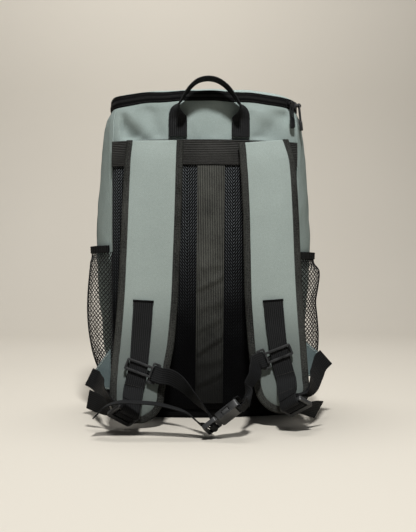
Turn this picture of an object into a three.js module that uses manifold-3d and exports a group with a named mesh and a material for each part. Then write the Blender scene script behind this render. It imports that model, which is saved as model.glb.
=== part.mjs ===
// A box-shaped backpack with a zipped lid, net side pockets and padded shoulder straps.
// Millimetres, +Z up. The origin is the middle of the base, -Y faces the wearer, +X is right
// as seen from the strap side.
import * as THREE from 'three';
import { mergeVertices } from 'three/addons/utils/BufferGeometryUtils.js';
import Module from 'manifold-3d';

const wasm = await Module();
wasm.setup();

// Bag
const WALL = 2.5;
const SEAM_GAP = 0.4;
const BASE_TOP = 12;
const RIM_LIFT = 8;
const RIM_ARCH = 2.6;
const RIM_LIFT_FROM = 350;
const LID_MIDDLE_LIFT = 6.4;
const FOLDS_FADE_FROM = 395;
const BACK_CORNER = 9;
const FRONT_CORNER = 32;
const BACK_STEPS = 12;
const SIDE_STEPS = 6;
const FRONT_STEPS = 8;
const CORNER_STEPS = 3;

// Zip, with two tapes that meet in the middle of the band
const ZIP_HEIGHT = 13.4;
const ZIP_WIDER = { left: 0.2, from: 30 };
const TAPE_THICK = 1.8;

// Back pad and the bands sewn on it
const PAD_THICK = 6;
const PAD_EDGE = 2.5;
const PAD_SOFT_EDGE = 7;
const PAD_EDGE_STEP = 6;
const PAD_REACH = 0.985;
const PAD_SHARES = [-1, -0.94, -0.8, -0.6, -0.4, -0.2, 0, 0.2, 0.4, 0.6, 0.8, 0.94, 1];
const PAD_TOP = 363;
const PAD_BOTTOM = 13;
const BAND_THICK = 1.6;
const SPINE_WIDTH = 35;
const SPINE_MIDDLE = { top: 7, bottom: 4 };
const SPINE_BOTTOM = 21;
const SPINE_COLUMNS = 3;
const YOKE_BOTTOM = 329;
const YOKE_TOP = 362;
const YOKE_REACH = 0.975;
const YOKE_COLUMNS = 10;

// Shoulder straps
const STRAP_MIDDLE = 12;
const STRAP_EDGE = 4.6;
const BINDING_WIDTH = 8.6;
const BINDING_THICK = 6;
const STRAP_END = 33;
const STRAP_STEPS = 12;
const STRAP_END_ANGLES = [24, 44, 60, 73, 84];
const STRAP_SHARES = [-1, -0.72, -0.3, 0.3, 0.72, 1];
const STRAP_SEWN = { over: 28, pad: 0.55, binding: 0.7 };
const STRAP_TIP = { from: 8, thick: 0.6 };
const BINDING_OUTER = 0.6;

// Webbing
const WEB_WIDTH = 24.5;
const WEB_THICK = 1.6;
const THIN_WEB = 1.4;
const STERNUM_WIDTH = 20;
const SPAN_STEPS = 2;
const HANDLE_THICK = 2.2;

// Net pockets
const NET_WALL = 1.4;
const HEM_THICK = 2;
const HEM_HEIGHT = 9;

// Each row is a level of the bag: half widths at the back corners, the fullest side and the front
// corners, then the corners' places in depth and how far back and front bulge past them
const BAG = [
  { z: 12, back: 119, side: 126, front: 117, backY: -56, bow: 22, frontY: 58, belly: 16 },
  { z: 40, back: 121, side: 132, front: 121, backY: -55, bow: 24, frontY: 62, belly: 18 },
  { z: 80, back: 122, side: 139, front: 123, backY: -54, bow: 25, frontY: 65, belly: 19 },
  { z: 130, back: 123, side: 145, front: 125, backY: -54, bow: 26, frontY: 67, belly: 20 },
  { z: 190, back: 123, side: 149, front: 126, backY: -54, bow: 26, frontY: 68, belly: 20 },
  { z: 250, back: 124, side: 151, front: 127, backY: -54, bow: 26, frontY: 68, belly: 20 },
  { z: 315, back: 124, side: 146, front: 126, backY: -54, bow: 26, frontY: 67, belly: 19 },
  { z: 362, back: 124, side: 142, front: 124, backY: -54, bow: 25, frontY: 65, belly: 18 },
  { z: 377, back: 123.5, side: 140, front: 123, backY: -54, bow: 24.5, frontY: 64, belly: 17 },
  { z: 391, back: 123, side: 137.5, front: 121, backY: -53.5, bow: 24, frontY: 62, belly: 16 },
  { z: 400, back: 121.5, side: 134, front: 118.5, backY: -52.5, bow: 24, frontY: 60, belly: 15 },
  { z: 406, back: 119.5, side: 129, front: 116, backY: -51.5, bow: 24, frontY: 57, belly: 14 },
];

// Folds pressed into the upper back panel, from one point to another
const BACK_FOLDS = [
  { x0: -122, z0: 404, x1: -92, z1: 370, half: 9, depth: 5 },
  { x0: -112, z0: 380, x1: -84, z1: 364, half: 7, depth: -2.5 },
  { x0: 118, z0: 400, x1: 74, z1: 368, half: 10, depth: 4.5 },
  { x0: 70, z0: 396, x1: 100, z1: 384, half: 8, depth: -2.5 },
];

// Lid rings from rim to middle: share of the rim outline, height above the rim and extra height on the
// fuller right side
const LID = [
  { share: 1, rise: 0, fuller: 0 },
  { share: 0.96, rise: 1.4, fuller: 1.6 },
  { share: 0.72, rise: 6.4, fuller: 2.6 },
  { share: 0.38, rise: 8.5, fuller: 2.4 },
];
const LID_FULLER = { from: -30, to: 110 };

// Base panel's rings from its flat underside up, inward from the bag's lowest outline
const BASE_PANEL = [
  { inset: 6, z: 0 },
  { inset: 5.2, z: WALL },
];

// Section of the band round the base, from its lower edge out, up and back down inside
const BASE_BAND = [
  { inset: 4.8, z: 0.3 },
  { inset: 1.2, z: 2.2 },
  { inset: 0, z: BASE_TOP - SEAM_GAP },
  { inset: WALL, z: BASE_TOP - SEAM_GAP },
  { inset: 4.8, z: WALL },
];

// Middle line, full width and turn of each shoulder strap, from the yoke to the tip
const STRAP_LEFT = [
  { x: -65.5, y: -84.5, z: 361, wide: 76, turn: -12 },
  { x: -67, y: -89, z: 334, wide: 77, turn: -10.5 },
  { x: -69, y: -98, z: 272, wide: 76.5, turn: -5 },
  { x: -71, y: -105, z: 215, wide: 76, turn: -2 },
  { x: -73.5, y: -111.5, z: 155, wide: 76, turn: 0 },
  { x: -78, y: -120, z: 101, wide: 75, turn: 0 },
  { x: -82, y: -127, z: 72, wide: 72, turn: 0 },
  { x: -85.5, y: -134, z: 44, wide: 67, turn: 0 },
  { x: -84, y: -140, z: 6, wide: 66, turn: 0 },
];
const STRAP_RIGHT = [
  { x: 75.5, y: -82.5, z: 361, wide: 70, turn: 13.5 },
  { x: 80, y: -88, z: 334, wide: 75, turn: 11.5 },
  { x: 83, y: -98, z: 272, wide: 73, turn: 5 },
  { x: 84, y: -105, z: 215, wide: 73, turn: 2 },
  { x: 85.5, y: -111.5, z: 155, wide: 74, turn: 0 },
  { x: 88.5, y: -120, z: 101, wide: 73.5, turn: 0 },
  { x: 91.5, y: -128, z: 62, wide: 71, turn: 0 },
  { x: 94.5, y: -134, z: 42, wide: 67, turn: 0 },
  { x: 97, y: -139, z: 17, wide: 66, turn: 0 },
];

// Places of the webbing along a strap: level, shift to the strap's right, lift off its face and width
const WEB_ON_LEFT = [
  { z: 153, shift: -5, lift: 0, wide: WEB_WIDTH },
  { z: 128, shift: -4.5, lift: 0, wide: WEB_WIDTH },
  { z: 98, shift: -3.5, lift: 1.6, wide: 23.5 },
  { z: 76, shift: -2, lift: 3, wide: 22.5 },
  { z: 56, shift: -2.5, lift: 2, wide: WEB_WIDTH },
  { z: 46, shift: -4, lift: 2.5, wide: WEB_WIDTH },
];
const WEB_ON_RIGHT = [
  { z: 154, shift: -2, lift: 0, wide: WEB_WIDTH },
  { z: 134, shift: -1.5, lift: 0, wide: WEB_WIDTH },
  { z: 114, shift: -1, lift: 1.6, wide: 23.5 },
  { z: 94, shift: 0, lift: 3, wide: 22.5 },
  { z: 72, shift: 3, lift: 2, wide: WEB_WIDTH },
  { z: 54, shift: 5, lift: 2.5, wide: WEB_WIDTH },
];

// Ladder locks: middle, direction across the webbing and direction from the strap to the free side
const LOCK_LEFT = {
  at: [-99.5, -168, 21.5],
  across: [0.75, 0.42, -0.51],
  along: [-0.6, 0.5, -0.47],
};
const LOCK_RIGHT = {
  at: [105, -168, 31],
  across: [0.82, -0.4, 0.42],
  along: [0.66, 0.5, -0.4],
};
const LOCK_LENGTH = 24;
const LOCK_WIDTH = 33;
const LOCK_THICK = 4.4;
const LOCK_CORNER = 3;
const SLOT_CORNER = 0.8;
const LOCK_SLOT_WIDTH = 26.4;
const LOCK_SLOTS = [
  { from: -9.2, to: -3.2 },
  { from: -0.4, to: 5.8 },
];

// Way of the adjusting webbing through a lock, from its free side: distance along and out of it
const LOCK_WAY = [
  { along: 13, out: -4 },
  { along: 6.5, out: -4.2 },
  { along: 3, out: -2.2 },
  { along: 2.2, out: 1.6 },
  { along: -1.8, out: 4.1 },
  { along: -5, out: 1.8 },
  { along: -5.6, out: -2.4 },
  { along: -5.4, out: -8 },
];

// Way of the strap webbing round a lock's first bar
const LOCK_LOOP = [
  { along: -14, out: -6 },
  { along: -14.6, out: -0.6 },
  { along: -12.6, out: 4.2 },
  { along: -9, out: 4 },
  { along: -7.6, out: 0 },
  { along: -8.8, out: -4 },
  { along: -10, out: -7 },
];

// Adjusting webbing: its free tail up to the lock, then from the lock to the corner tab, with the
// width's direction
const LOWER_LEFT = {
  tail: [
    { x: -144.6, y: -140, z: 36.6, wx: 0.21, wy: 0, wz: -0.98 },
    { x: -134, y: -146, z: 33, wx: 0.1, wy: 0.1, wz: -0.99 },
    { x: -122, y: -151, z: 27, wx: 0.35, wy: 0.28, wz: -0.9 },
  ],
  run: [
    { x: -107, y: -158, z: 35, wx: 0.44, wy: 0.8, wz: -0.4 },
    { x: -122, y: -143.5, z: 41.5, wx: 0.1, wy: 0.5, wz: -0.85 },
    { x: -131, y: -115, z: 45.5, wx: -0.28, wy: 0.1, wz: -0.95 },
    { x: -139.5, y: -84, z: 48.5, wx: -0.33, wy: 0, wz: -0.94 },
    { x: -144.5, y: -70, z: 50, wx: -0.5, wy: 0, wz: -0.86 },
    { x: -152, y: -67.5, z: 53.5, wx: -0.54, wy: 0, wz: -0.84 },
  ],
};
const LOWER_RIGHT = {
  tail: [
    { x: 137, y: -141, z: 22, wx: 0.5, wy: -0.1, wz: 0.86 },
    { x: 127, y: -150, z: 25.5, wx: 0.55, wy: -0.3, wz: 0.78 },
  ],
  run: [
    { x: 113, y: -158, z: 45, wx: 0.47, wy: -0.86, wz: 0.21 },
    { x: 125, y: -148, z: 50, wx: -0.1, wy: -0.45, wz: 0.89 },
    { x: 135, y: -122, z: 55.5, wx: -0.5, wy: -0.25, wz: 0.83 },
    { x: 147, y: -86, z: 66.5, wx: -0.56, wy: 0, wz: 0.83 },
    { x: 152.5, y: -71, z: 71.5, wx: -0.6, wy: 0, wz: 0.8 },
    { x: 160, y: -67.5, z: 78, wx: -0.7, wy: 0, wz: 0.71 },
  ],
};

// Corner tabs: the sewn edge on the bag's back corner and the outer end under the webbing
const TAB_THICK = 1.8;
const TAB_LEFT = {
  sewnTop: [-125, -58.5, 89],
  sewnLow: [-124, -59.5, 35],
  outTop: [-157.5, -64, 44.5],
  outLow: [-146, -63, 37.5],
};
const TAB_RIGHT = {
  sewnTop: [126, -58.5, 104],
  sewnLow: [126, -59.5, 51],
  outTop: [168.5, -64, 69.5],
  outLow: [153, -63, 52.5],
};

// Sternum clips: place on the strap webbing and turn of the clip in the strap's face, in degrees
const CLIP_LEFT = { z: 71, shift: -1.1, turn: -13, inward: 1 };
const CLIP_RIGHT = { z: 88, shift: -0.7, turn: 17, inward: -1 };
const CLIP_HALF = 7.3;
const CLIP_RAIL = { inner: 14.7, outer: 17 };
const CLIP_BAR = 3;
const CLIP_UNDER = { from: -2.8, to: -1.5 };
const CLIP_OVER = { from: 1.6, to: 3.8 };
const CLIP_CORNER = 2;
const CLIP_HOLE_CORNER = 0.6;
const CLIP_RAIL_TRIM = 1;
const FUSE = 0.5;
const CLIP_RING = { hole: 20.6, outer: 25, halfHole: 10.6, half: 13, thick: 3.2 };

// Way of the sternum webbing round a clip's ring bar: distance inward and out of the strap's face
const CLIP_LOOP = [
  { inward: 34, out: -2.2 },
  { inward: 27, out: -3 },
  { inward: 21.8, out: -3.3 },
  { inward: 18.7, out: -1.5 },
  { inward: 18.7, out: 1.6 },
  { inward: 22, out: 3.4 },
  { inward: 29, out: 3.4 },
];

// Sternum strap from each clip to the buckle, and the free tail, with the width's direction
const STERNUM_LEFT = [
  { x: -46.5, y: -148, z: 64, wx: 0.2, wy: -0.05, wz: 0.98 },
  { x: -37, y: -154, z: 60.5, wx: 0.3, wy: -0.29, wz: 0.91 },
  { x: -27, y: -161, z: 53.5, wx: 0.23, wy: -0.55, wz: 0.81 },
  { x: -16, y: -172, z: 43, wx: 0, wy: -0.66, wz: 0.75 },
];
const STERNUM_TAIL = [
  { x: -24, y: -196, z: 29, wx: 0.2, wy: -0.97, wz: 0 },
  { x: -42, y: -194, z: 35.5, wx: 0.1, wy: -0.99, wz: 0 },
  { x: -62, y: -191, z: 39.5, wx: 0, wy: -1, wz: 0 },
  { x: -82, y: -191, z: 41, wx: -0.05, wy: -1, wz: 0 },
  { x: -103, y: -191, z: 41.5, wx: -0.05, wy: -1, wz: 0 },
  { x: -119, y: -188, z: 36, wx: -0.1, wy: -1, wz: 0 },
  { x: -131, y: -184, z: 24, wx: -0.1, wy: -1, wz: 0 },
];
const STERNUM_RIGHT = [
  { x: 58.7, y: -147, z: 71.9, wx: -0.74, wy: -0.27, wz: 0.62 },
  { x: 52.1, y: -160, z: 61.7, wx: -0.31, wy: -0.41, wz: 0.86 },
  { x: 44.4, y: -177, z: 52.5, wx: -0.09, wy: -0.31, wz: 0.95 },
];

// Fastened buckle, with its plug on the left and its socket on the right
const BUCKLE = { at: [16, -200, 25], along: [0.79, 0, 0.61], across: [0.33, 0.84, -0.43] };
const BUCKLE_HALF_WIDTH = 12.4;
const PLUG = { end: -25, shoulder: -6.2, thick: 5, corner: 2.5 };
const PLUG_SLOTS = [
  { from: -21.6, to: -17 },
  { from: -14.2, to: -9.6 },
];
const PLUG_SLOT_CLEAR = 0.8;
const PRONG = { inner: 7, outer: 9.8, button: 11.9, length: 19, thick: 4, tip: 2, tipIn: 1.5, tipOut: 1.2 };
const TONGUE = { half: 1.8, short: 4 };
const SOCKET = { mouth: -5.4, end: 24.6, thick: 8.6, corner: 3 };
const SOCKET_CAVITY = { tall: 5.2, half: 10.6, end: 15.5 };
const SOCKET_SLOT = { from: 18.6, to: 22.4, half: 10.8 };
const SOCKET_WINDOW = { from: 2.6, to: 12.6, clear: 1, slope: 0.6 };
const PLUG_WAY = [
  { along: -10, out: 12 },
  { along: -11.6, out: 5 },
  { along: -11.9, out: 0 },
  { along: -13.8, out: -4 },
  { along: -17.4, out: -4 },
  { along: -19.3, out: 0 },
  { along: -20.6, out: 4.6 },
  { along: -25, out: 9 },
];
const SOCKET_LOOP = [
  { along: 34, out: -3.4 },
  { along: 27, out: -5.6 },
  { along: 22.8, out: -6 },
  { along: 20.4, out: -3.4 },
  { along: 20.4, out: 3.4 },
  { along: 23, out: 6 },
  { along: 29, out: 5 },
];

// Grab handle: middle line and the turn of its width away from the back panel, in degrees
const HANDLE = [
  { x: -35.6, out: 1.9, z: 367, turn: 6.5 },
  { x: -35.6, out: 1.9, z: 383, turn: 6.5 },
  { x: -35.6, out: 3.4, z: 391, turn: 13 },
  { x: -35.2, out: 9.8, z: 399, turn: 50 },
  { x: -32.5, out: 14.5, z: 407, turn: 84 },
  { x: -20.5, out: 19, z: 425, turn: 90 },
  { x: -10, out: 20, z: 435, turn: 90 },
  { x: 3, out: 20.5, z: 438.2, turn: 90 },
  { x: 15.5, out: 20, z: 435.5, turn: 90 },
  { x: 27.6, out: 19, z: 426.2, turn: 90 },
  { x: 42, out: 14.5, z: 407, turn: 97 },
  { x: 45.2, out: 9.8, z: 399, turn: 130 },
  { x: 46, out: 3.4, z: 391, turn: 165 },
  { x: 46, out: 2, z: 383, turn: 171.5 },
  { x: 46, out: 2, z: 367, turn: 171.5 },
];
const HANDLE_WIDTH = 24;

// How far each pocket's net stands off the bag, by level, and its hem's level
const POCKET = [
  { z: 14, left: 1.5, right: 1.5 },
  { z: 45, left: 7, right: 9 },
  { z: 75, left: 13.6, right: 18.2 },
  { z: 100, left: 15.6, right: 17.6 },
  { z: 126, left: 15.6, right: 13.6 },
  { z: 149, left: 14, right: 9.8 },
  { z: 170, left: 11.6, right: 11.8 },
  { z: 190, left: 8.8, right: 12.4 },
  { z: 201, left: 7.2, right: 9.4 },
];
const POCKET_SIDES = [
  { name: 'left', mirror: -1, hem: 217 },
  { name: 'right', mirror: 1, hem: 208.5 },
];
const POCKET_FROM = 0.02;
const POCKET_TO = 0.95;
const POCKET_STEPS = 9;
const POCKET_PEAK = 0.32;
const POCKET_FALL = 7;
const NET_CLEAR = 1.4;
const NET_TOP_STEP = 6;
const MOUTH = { clear: 1.4, gape: 9, at: 0.7, half: 0.2, over: 16 };

// Zip sliders on the band: place on the back or side, and the lean of the pull on the cloth, in degrees
const SLIDERS = [
  { name: 'back', x: 113, face: 'back', lean: 5 },
  { name: 'side', t: 0.035, face: 'side', lean: 6 },
];
const SLIDER = { long: 9.5, tall: 8, thick: 2.6 };
const POST = { wide: 1.3, at: 3.3, half: 1.4, past: 1.2 };
const PIN = { out: 6.2, radius: 0.9, sides: 8 };
const PULL_EYE = { radius: 2.9, hole: 1.55, length: 4, sides: 12 };
const PULL_LOOP = { top: -1.6, end: -22, wide: 5, thick: 2.4, corner: 1 };
const PULL_SLOT = { top: -5, end: -19, wide: 1.7, corner: 0.6 };
const PULL_GRIP = { top: -21, end: -34, wide: 6, thick: 3.6, corner: 2 };

// Colours and finishes
const FINISH = {
  cloth: { color: 0x87918d, roughness: 0.85, metalness: 0 },
  strapCloth: { color: 0x929a94, roughness: 0.85, metalness: 0 },
  black: { color: 0x1c1c1e, roughness: 0.9, metalness: 0 },
  webbing: { color: 0x2b2b2b, roughness: 0.75, metalness: 0 },
  binding: { color: 0x34312e, roughness: 0.8, metalness: 0 },
  net: { color: 0x18181a, roughness: 0.7, metalness: 0 },
  plastic: { color: 0x2c2d2f, roughness: 0.4, metalness: 0 },
  metal: { color: 0x3a3a3c, roughness: 0.35, metalness: 0.8 },
};

const pack = new THREE.Group();

// Adds a named piece to the pack
function addPiece(name, geometry, finish) {
  const mesh = new THREE.Mesh(geometry, new THREE.MeshStandardMaterial(FINISH[finish]));
  mesh.name = name;
  pack.add(mesh);
  return mesh;
}

const vector = ([x, y, z]) => new THREE.Vector3(x, y, z);
const place = ({ x, y, z }) => new THREE.Vector3(x, y, z);
const { lerp, smoothstep, degToRad } = THREE.MathUtils;

// Row of a table at a level, worked out between its neighbours
function rowAt(table, key, value) {
  const rising = table[table.length - 1][key] > table[0][key];
  const rows = rising ? table : [...table].reverse();
  let upper = rows.findIndex((row) => row[key] >= value);
  if (upper < 0) upper = rows.length - 1;
  if (upper === 0) upper = 1;
  const a = rows[upper - 1];
  const b = rows[upper];
  const share = THREE.MathUtils.clamp((value - a[key]) / (b[key] - a[key]), 0, 1);
  const mixed = {};
  for (const column of Object.keys(a)) mixed[column] = lerp(a[column], b[column], share);
  return mixed;
}

// Closed geometry from points and triangles, turned so that its faces point out
function closedGeometry(points, faces) {
  let volume = 0;
  for (const [a, b, c] of faces) {
    volume += points[a].dot(new THREE.Vector3().crossVectors(points[b], points[c]));
  }
  const index = volume < 0 ? faces.map(([a, b, c]) => [a, c, b]) : faces;
  const geometry = new THREE.BufferGeometry().setFromPoints(points);
  geometry.setIndex(index.flat());
  return geometry;
}

// Solid through closed rings of points; the stack closes on itself or its two ends are capped
function loft(rings, { wrap = false } = {}) {
  const count = rings[0].length;
  const points = rings.flat();
  const faces = [];
  const bands = wrap ? rings.length : rings.length - 1;
  for (let i = 0; i < bands; i += 1) {
    const low = i * count;
    const high = ((i + 1) % rings.length) * count;
    for (let j = 0; j < count; j += 1) {
      const k = (j + 1) % count;
      faces.push([low + j, low + k, high + k], [low + j, high + k, high + j]);
    }
  }
  if (!wrap) {
    const last = (rings.length - 1) * count;
    const middle = (ring) => ring.reduce((sum, p) => sum.add(p), new THREE.Vector3()).divideScalar(count);
    points.push(middle(rings[0]), middle(rings[rings.length - 1]));
    for (let j = 0; j < count; j += 1) {
      const k = (j + 1) % count;
      faces.push([points.length - 2, k, j], [points.length - 1, last + j, last + k]);
    }
  }
  return closedGeometry(points, faces);
}

// Solid between two grids of points, one for each face of a sheet or pad
function sheet(front, back) {
  const rows = front.length;
  const columns = front[0].length;
  const points = [...front.flat(), ...back.flat()];
  const at = (i, j) => i * columns + j;
  const under = (i, j) => rows * columns + at(i, j);
  const faces = [];
  for (let i = 0; i + 1 < rows; i += 1) {
    for (let j = 0; j + 1 < columns; j += 1) {
      faces.push([at(i, j), at(i, j + 1), at(i + 1, j + 1)], [at(i, j), at(i + 1, j + 1), at(i + 1, j)]);
      faces.push([under(i, j), under(i + 1, j + 1), under(i, j + 1)]);
      faces.push([under(i, j), under(i + 1, j), under(i + 1, j + 1)]);
    }
  }
  const edge = [];
  for (let j = 0; j + 1 < columns; j += 1) edge.push([0, j]);
  for (let i = 0; i + 1 < rows; i += 1) edge.push([i, columns - 1]);
  for (let j = columns - 1; j > 0; j -= 1) edge.push([rows - 1, j]);
  for (let i = rows - 1; i > 0; i -= 1) edge.push([i, 0]);
  edge.forEach(([i, j], n) => {
    const [k, l] = edge[(n + 1) % edge.length];
    faces.push([at(i, j), under(i, j), under(k, l)], [at(i, j), under(k, l), at(k, l)]);
  });
  return closedGeometry(points, faces);
}

// Even steps from one value to another, both ends included
const steps = (from, to, count) => Array.from({ length: count + 1 }, (_, i) => lerp(from, to, i / count));

// Flat band along a smooth line; each station has a place and the direction of the band's width
function ribbon(stations, fullWidth, thick) {
  const line = new THREE.CatmullRomCurve3(stations.map(({ at }) => at), false, 'centripetal');
  const spans = stations.length - 1;
  const rings = steps(0, spans, spans * SPAN_STEPS).map((s) => {
    const from = Math.min(Math.floor(s), spans - 1);
    const tangent = line.getTangent(s / spans);
    const across = stations[from].across.clone().lerp(stations[from + 1].across, s - from);
    across.addScaledVector(tangent, -across.dot(tangent)).normalize();
    const out = new THREE.Vector3().crossVectors(across, tangent);
    const middle = line.getPoint(s / spans);
    const wide = (station) => station.wide ?? fullWidth;
    const width = lerp(wide(stations[from]), wide(stations[from + 1]), s - from);
    const corner = (w, h) => middle.clone().addScaledVector(across, w / 2).addScaledVector(out, h / 2);
    return [corner(-width, -thick), corner(width, -thick), corner(width, thick), corner(-width, thick)];
  });
  return loft(rings);
}

function tableStation({ x, y, z, wx, wy, wz }) {
  return { at: new THREE.Vector3(x, y, z), across: new THREE.Vector3(wx, wy, wz).normalize() };
}

// Frame of a hard piece: its middle and the directions along, across and out of it
function hardFrame({ at, along, across }) {
  const u = vector(along).normalize();
  const v = vector(across);
  v.addScaledVector(u, -v.dot(u)).normalize();
  return { at: vector(at), u, v, w: new THREE.Vector3().crossVectors(u, v) };
}

const framePoint = ({ at, u, v, w }, a, b, c) => at.clone()
  .addScaledVector(u, a).addScaledVector(v, b).addScaledVector(w, c);

// Places a piece that was made along X, across Y and out along Z into a frame
function setInFrame(mesh, frame) {
  mesh.position.copy(frame.at);
  mesh.quaternion.setFromRotationMatrix(new THREE.Matrix4().makeBasis(frame.u, frame.v, frame.w));
}

// Solids that are joined and cut
function toSolid(geometry) {
  const bare = geometry.clone();
  bare.deleteAttribute('normal');
  bare.deleteAttribute('uv');
  const merged = mergeVertices(bare, 1e-4);
  const vertProperties = new Float32Array(merged.attributes.position.array);
  const triVerts = new Uint32Array(merged.index.array);
  return new wasm.Manifold(new wasm.Mesh({ numProp: 3, vertProperties, triVerts }));
}

function toGeometry(solid) {
  const { vertProperties, triVerts } = solid.getMesh();
  const geometry = new THREE.BufferGeometry();
  geometry.setAttribute('position', new THREE.BufferAttribute(vertProperties, 3));
  geometry.setIndex(new THREE.BufferAttribute(triVerts, 1));
  return geometry;
}

// Box between two corners
function boxSolid([x0, x1], [y0, y1], [z0, z1]) {
  const box = new THREE.BoxGeometry(x1 - x0, y1 - y0, z1 - z0);
  box.translate((x0 + x1) / 2, (y0 + y1) / 2, (z0 + z1) / 2);
  return toSolid(box);
}

// Rectangle with rounded corners, as an outline or a hole
function roundedRectangle(Kind, [x0, x1], [y0, y1], radius) {
  const shape = new Kind();
  shape.absarc(x1 - radius, y1 - radius, radius, 0, Math.PI / 2);
  shape.absarc(x0 + radius, y1 - radius, radius, Math.PI / 2, Math.PI);
  shape.absarc(x0 + radius, y0 + radius, radius, Math.PI, Math.PI * 1.5);
  shape.absarc(x1 - radius, y0 + radius, radius, Math.PI * 1.5, Math.PI * 2);
  shape.closePath();
  return shape;
}

// Plate of a flat outline, between two heights
function plate(shape, [z0, z1], curveSegments = 2) {
  const geometry = new THREE.ExtrudeGeometry(shape, { depth: z1 - z0, bevelEnabled: false, curveSegments });
  return geometry.translate(0, 0, z0);
}

// Bag outline

const bagRow = (z) => rowAt(BAG, 'z', z);
const sideBulge = (row) => row.side - (row.back + row.front) / 2;
const backCurve = (row, s) => new THREE.Vector2(row.back * s, row.backY - row.bow * (1 - s * s));
const frontCurve = (row, s) => new THREE.Vector2(row.front * s, row.frontY + row.belly * (1 - s * s));

function sideCurve(row, t) {
  const x = lerp(row.back, row.front, t) + sideBulge(row) * 4 * t * (1 - t);
  return new THREE.Vector2(x, lerp(row.backY, row.frontY, t));
}

// Closed plan outline of one level, from the left end of the back round to the left side
function bagOutline(row) {
  const depth = row.frontY - row.backY;
  const backTrim = BACK_CORNER / row.back;
  const frontTrim = FRONT_CORNER / row.front;
  const sideTrim = [BACK_CORNER / depth, FRONT_CORNER / depth];
  const back = steps(-1 + backTrim, 1 - backTrim, BACK_STEPS).map((s) => backCurve(row, s));
  const right = steps(sideTrim[0], 1 - sideTrim[1], SIDE_STEPS).map((t) => sideCurve(row, t));
  const front = steps(1 - frontTrim, -1 + frontTrim, FRONT_STEPS).map((s) => frontCurve(row, s));
  const left = [...right].reverse().map(({ x, y }) => new THREE.Vector2(-x, y));
  const corner = (from, x, y, to) => {
    const curve = new THREE.QuadraticBezierCurve(from, new THREE.Vector2(x, y), to);
    return curve.getPoints(CORNER_STEPS).slice(1, -1);
  };
  return [
    ...back, ...corner(back.at(-1), row.back, row.backY, right[0]),
    ...right, ...corner(right.at(-1), row.front, row.frontY, front[0]),
    ...front, ...corner(front.at(-1), -row.front, row.frontY, left[0]),
    ...left, ...corner(left.at(-1), -row.back, row.backY, back[0]),
  ];
}

// Outline moved inward by a distance
function insetOutline(outline, inset) {
  return outline.map((p, i) => {
    const next = outline[(i + 1) % outline.length];
    const last = outline.at(i - 1);
    const along = next.clone().sub(last).normalize();
    return new THREE.Vector2(p.x - along.y * inset, p.y + along.x * inset);
  });
}

// Extra height of the rim towards the middle of the pack
const RIM = BAG.at(-1);
const rimLift = (x) => RIM_LIFT * (1 - Math.min(1, Math.abs(x / RIM.side) ** RIM_ARCH));

// The zip shows wider towards its left end
const zipScale = (x) => 1 + ZIP_WIDER.left * smoothstep(-x, ZIP_WIDER.from, RIM.side);

// Depth of the folds in the upper back panel
function foldDepth(x, z) {
  const point = new THREE.Vector3(x, 0, z);
  let depth = 0;
  for (const { x0, z0, x1, z1, half, depth: full } of BACK_FOLDS) {
    const line = new THREE.Line3(new THREE.Vector3(x0, 0, z0), new THREE.Vector3(x1, 0, z1));
    const away = line.closestPointToPoint(point, true, new THREE.Vector3()).distanceTo(point);
    depth += full * Math.exp(-((away / half) ** 2));
  }
  return depth;
}

// Ring of the bag wall at one level
function bagRing(row, inset) {
  const raise = smoothstep(row.z, RIM_LIFT_FROM, RIM.z);
  const settle = 1 - smoothstep(row.z, FOLDS_FADE_FROM, RIM.z);
  return insetOutline(bagOutline(row), inset).map(({ x, y }, i) => {
    const fold = i <= BACK_STEPS && row.z > PAD_TOP ? foldDepth(x, row.z) * settle : 0;
    return new THREE.Vector3(x, y + fold, row.z + raise * rimLift(x));
  });
}

// Point on the back panel, moved out from it
function backPoint(x, z, out) {
  const row = bagRow(z);
  const s = x / row.back;
  const slope = (2 * row.bow * s) / row.back;
  const length = Math.hypot(slope, 1);
  const y = row.backY - row.bow * (1 - s * s);
  return new THREE.Vector3(x + (slope / length) * out, y - out / length, z);
}

// Point on a side of the bag, moved out from it; the mirror is -1 on the left
function sidePoint(mirror, t, z, out) {
  const row = bagRow(z);
  const at = sideCurve(row, t);
  const run = row.front - row.back + sideBulge(row) * 4 * (1 - 2 * t);
  const along = new THREE.Vector2(run, row.frontY - row.backY).normalize();
  return new THREE.Vector3(mirror * (at.x + along.y * out), at.y - along.x * out, z);
}

// Bag, base and lid

function buildBag() {
  const outer = BAG.map((row) => bagRing(row, 0));
  const inner = BAG.map((row) => bagRing(row, WALL)).reverse();
  addPiece('body_shell', loft([...outer, ...inner], { wrap: true }), 'cloth');
}

function buildBase() {
  const outline = bagOutline(BAG[0]);
  const ring = ({ inset, z }) => insetOutline(outline, inset).map(({ x, y }) => new THREE.Vector3(x, y, z));
  addPiece('base_panel', loft(BASE_PANEL.map(ring)), 'black');
  addPiece('base_band', loft(BASE_BAND.map(ring), { wrap: true }), 'black');
}

function buildLid() {
  const outline = bagOutline(RIM);
  const middle = new THREE.Vector2(0, (RIM.backY - RIM.bow + RIM.frontY + RIM.belly) / 2);
  const ring = (inset, drop) => ({ share, rise, fuller }) => insetOutline(outline, inset).map((edge) => {
    const p = middle.clone().lerp(edge, share);
    const extra = fuller * smoothstep(p.x, LID_FULLER.from, LID_FULLER.to);
    const lift = lerp(LID_MIDDLE_LIFT, rimLift(edge.x), share);
    const rimZ = RIM.z + ZIP_HEIGHT * lerp(1, zipScale(edge.x), share);
    return new THREE.Vector3(p.x, p.y, rimZ + lift + rise + extra - drop);
  });
  const outer = LID.map(ring(0, 0)).reverse();
  const inner = [ring(WALL, 0)(LID[0]), ...LID.slice(1).map(ring(WALL, WALL))];
  addPiece('lid', loft([...outer, ...inner]), 'cloth');
}

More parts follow.
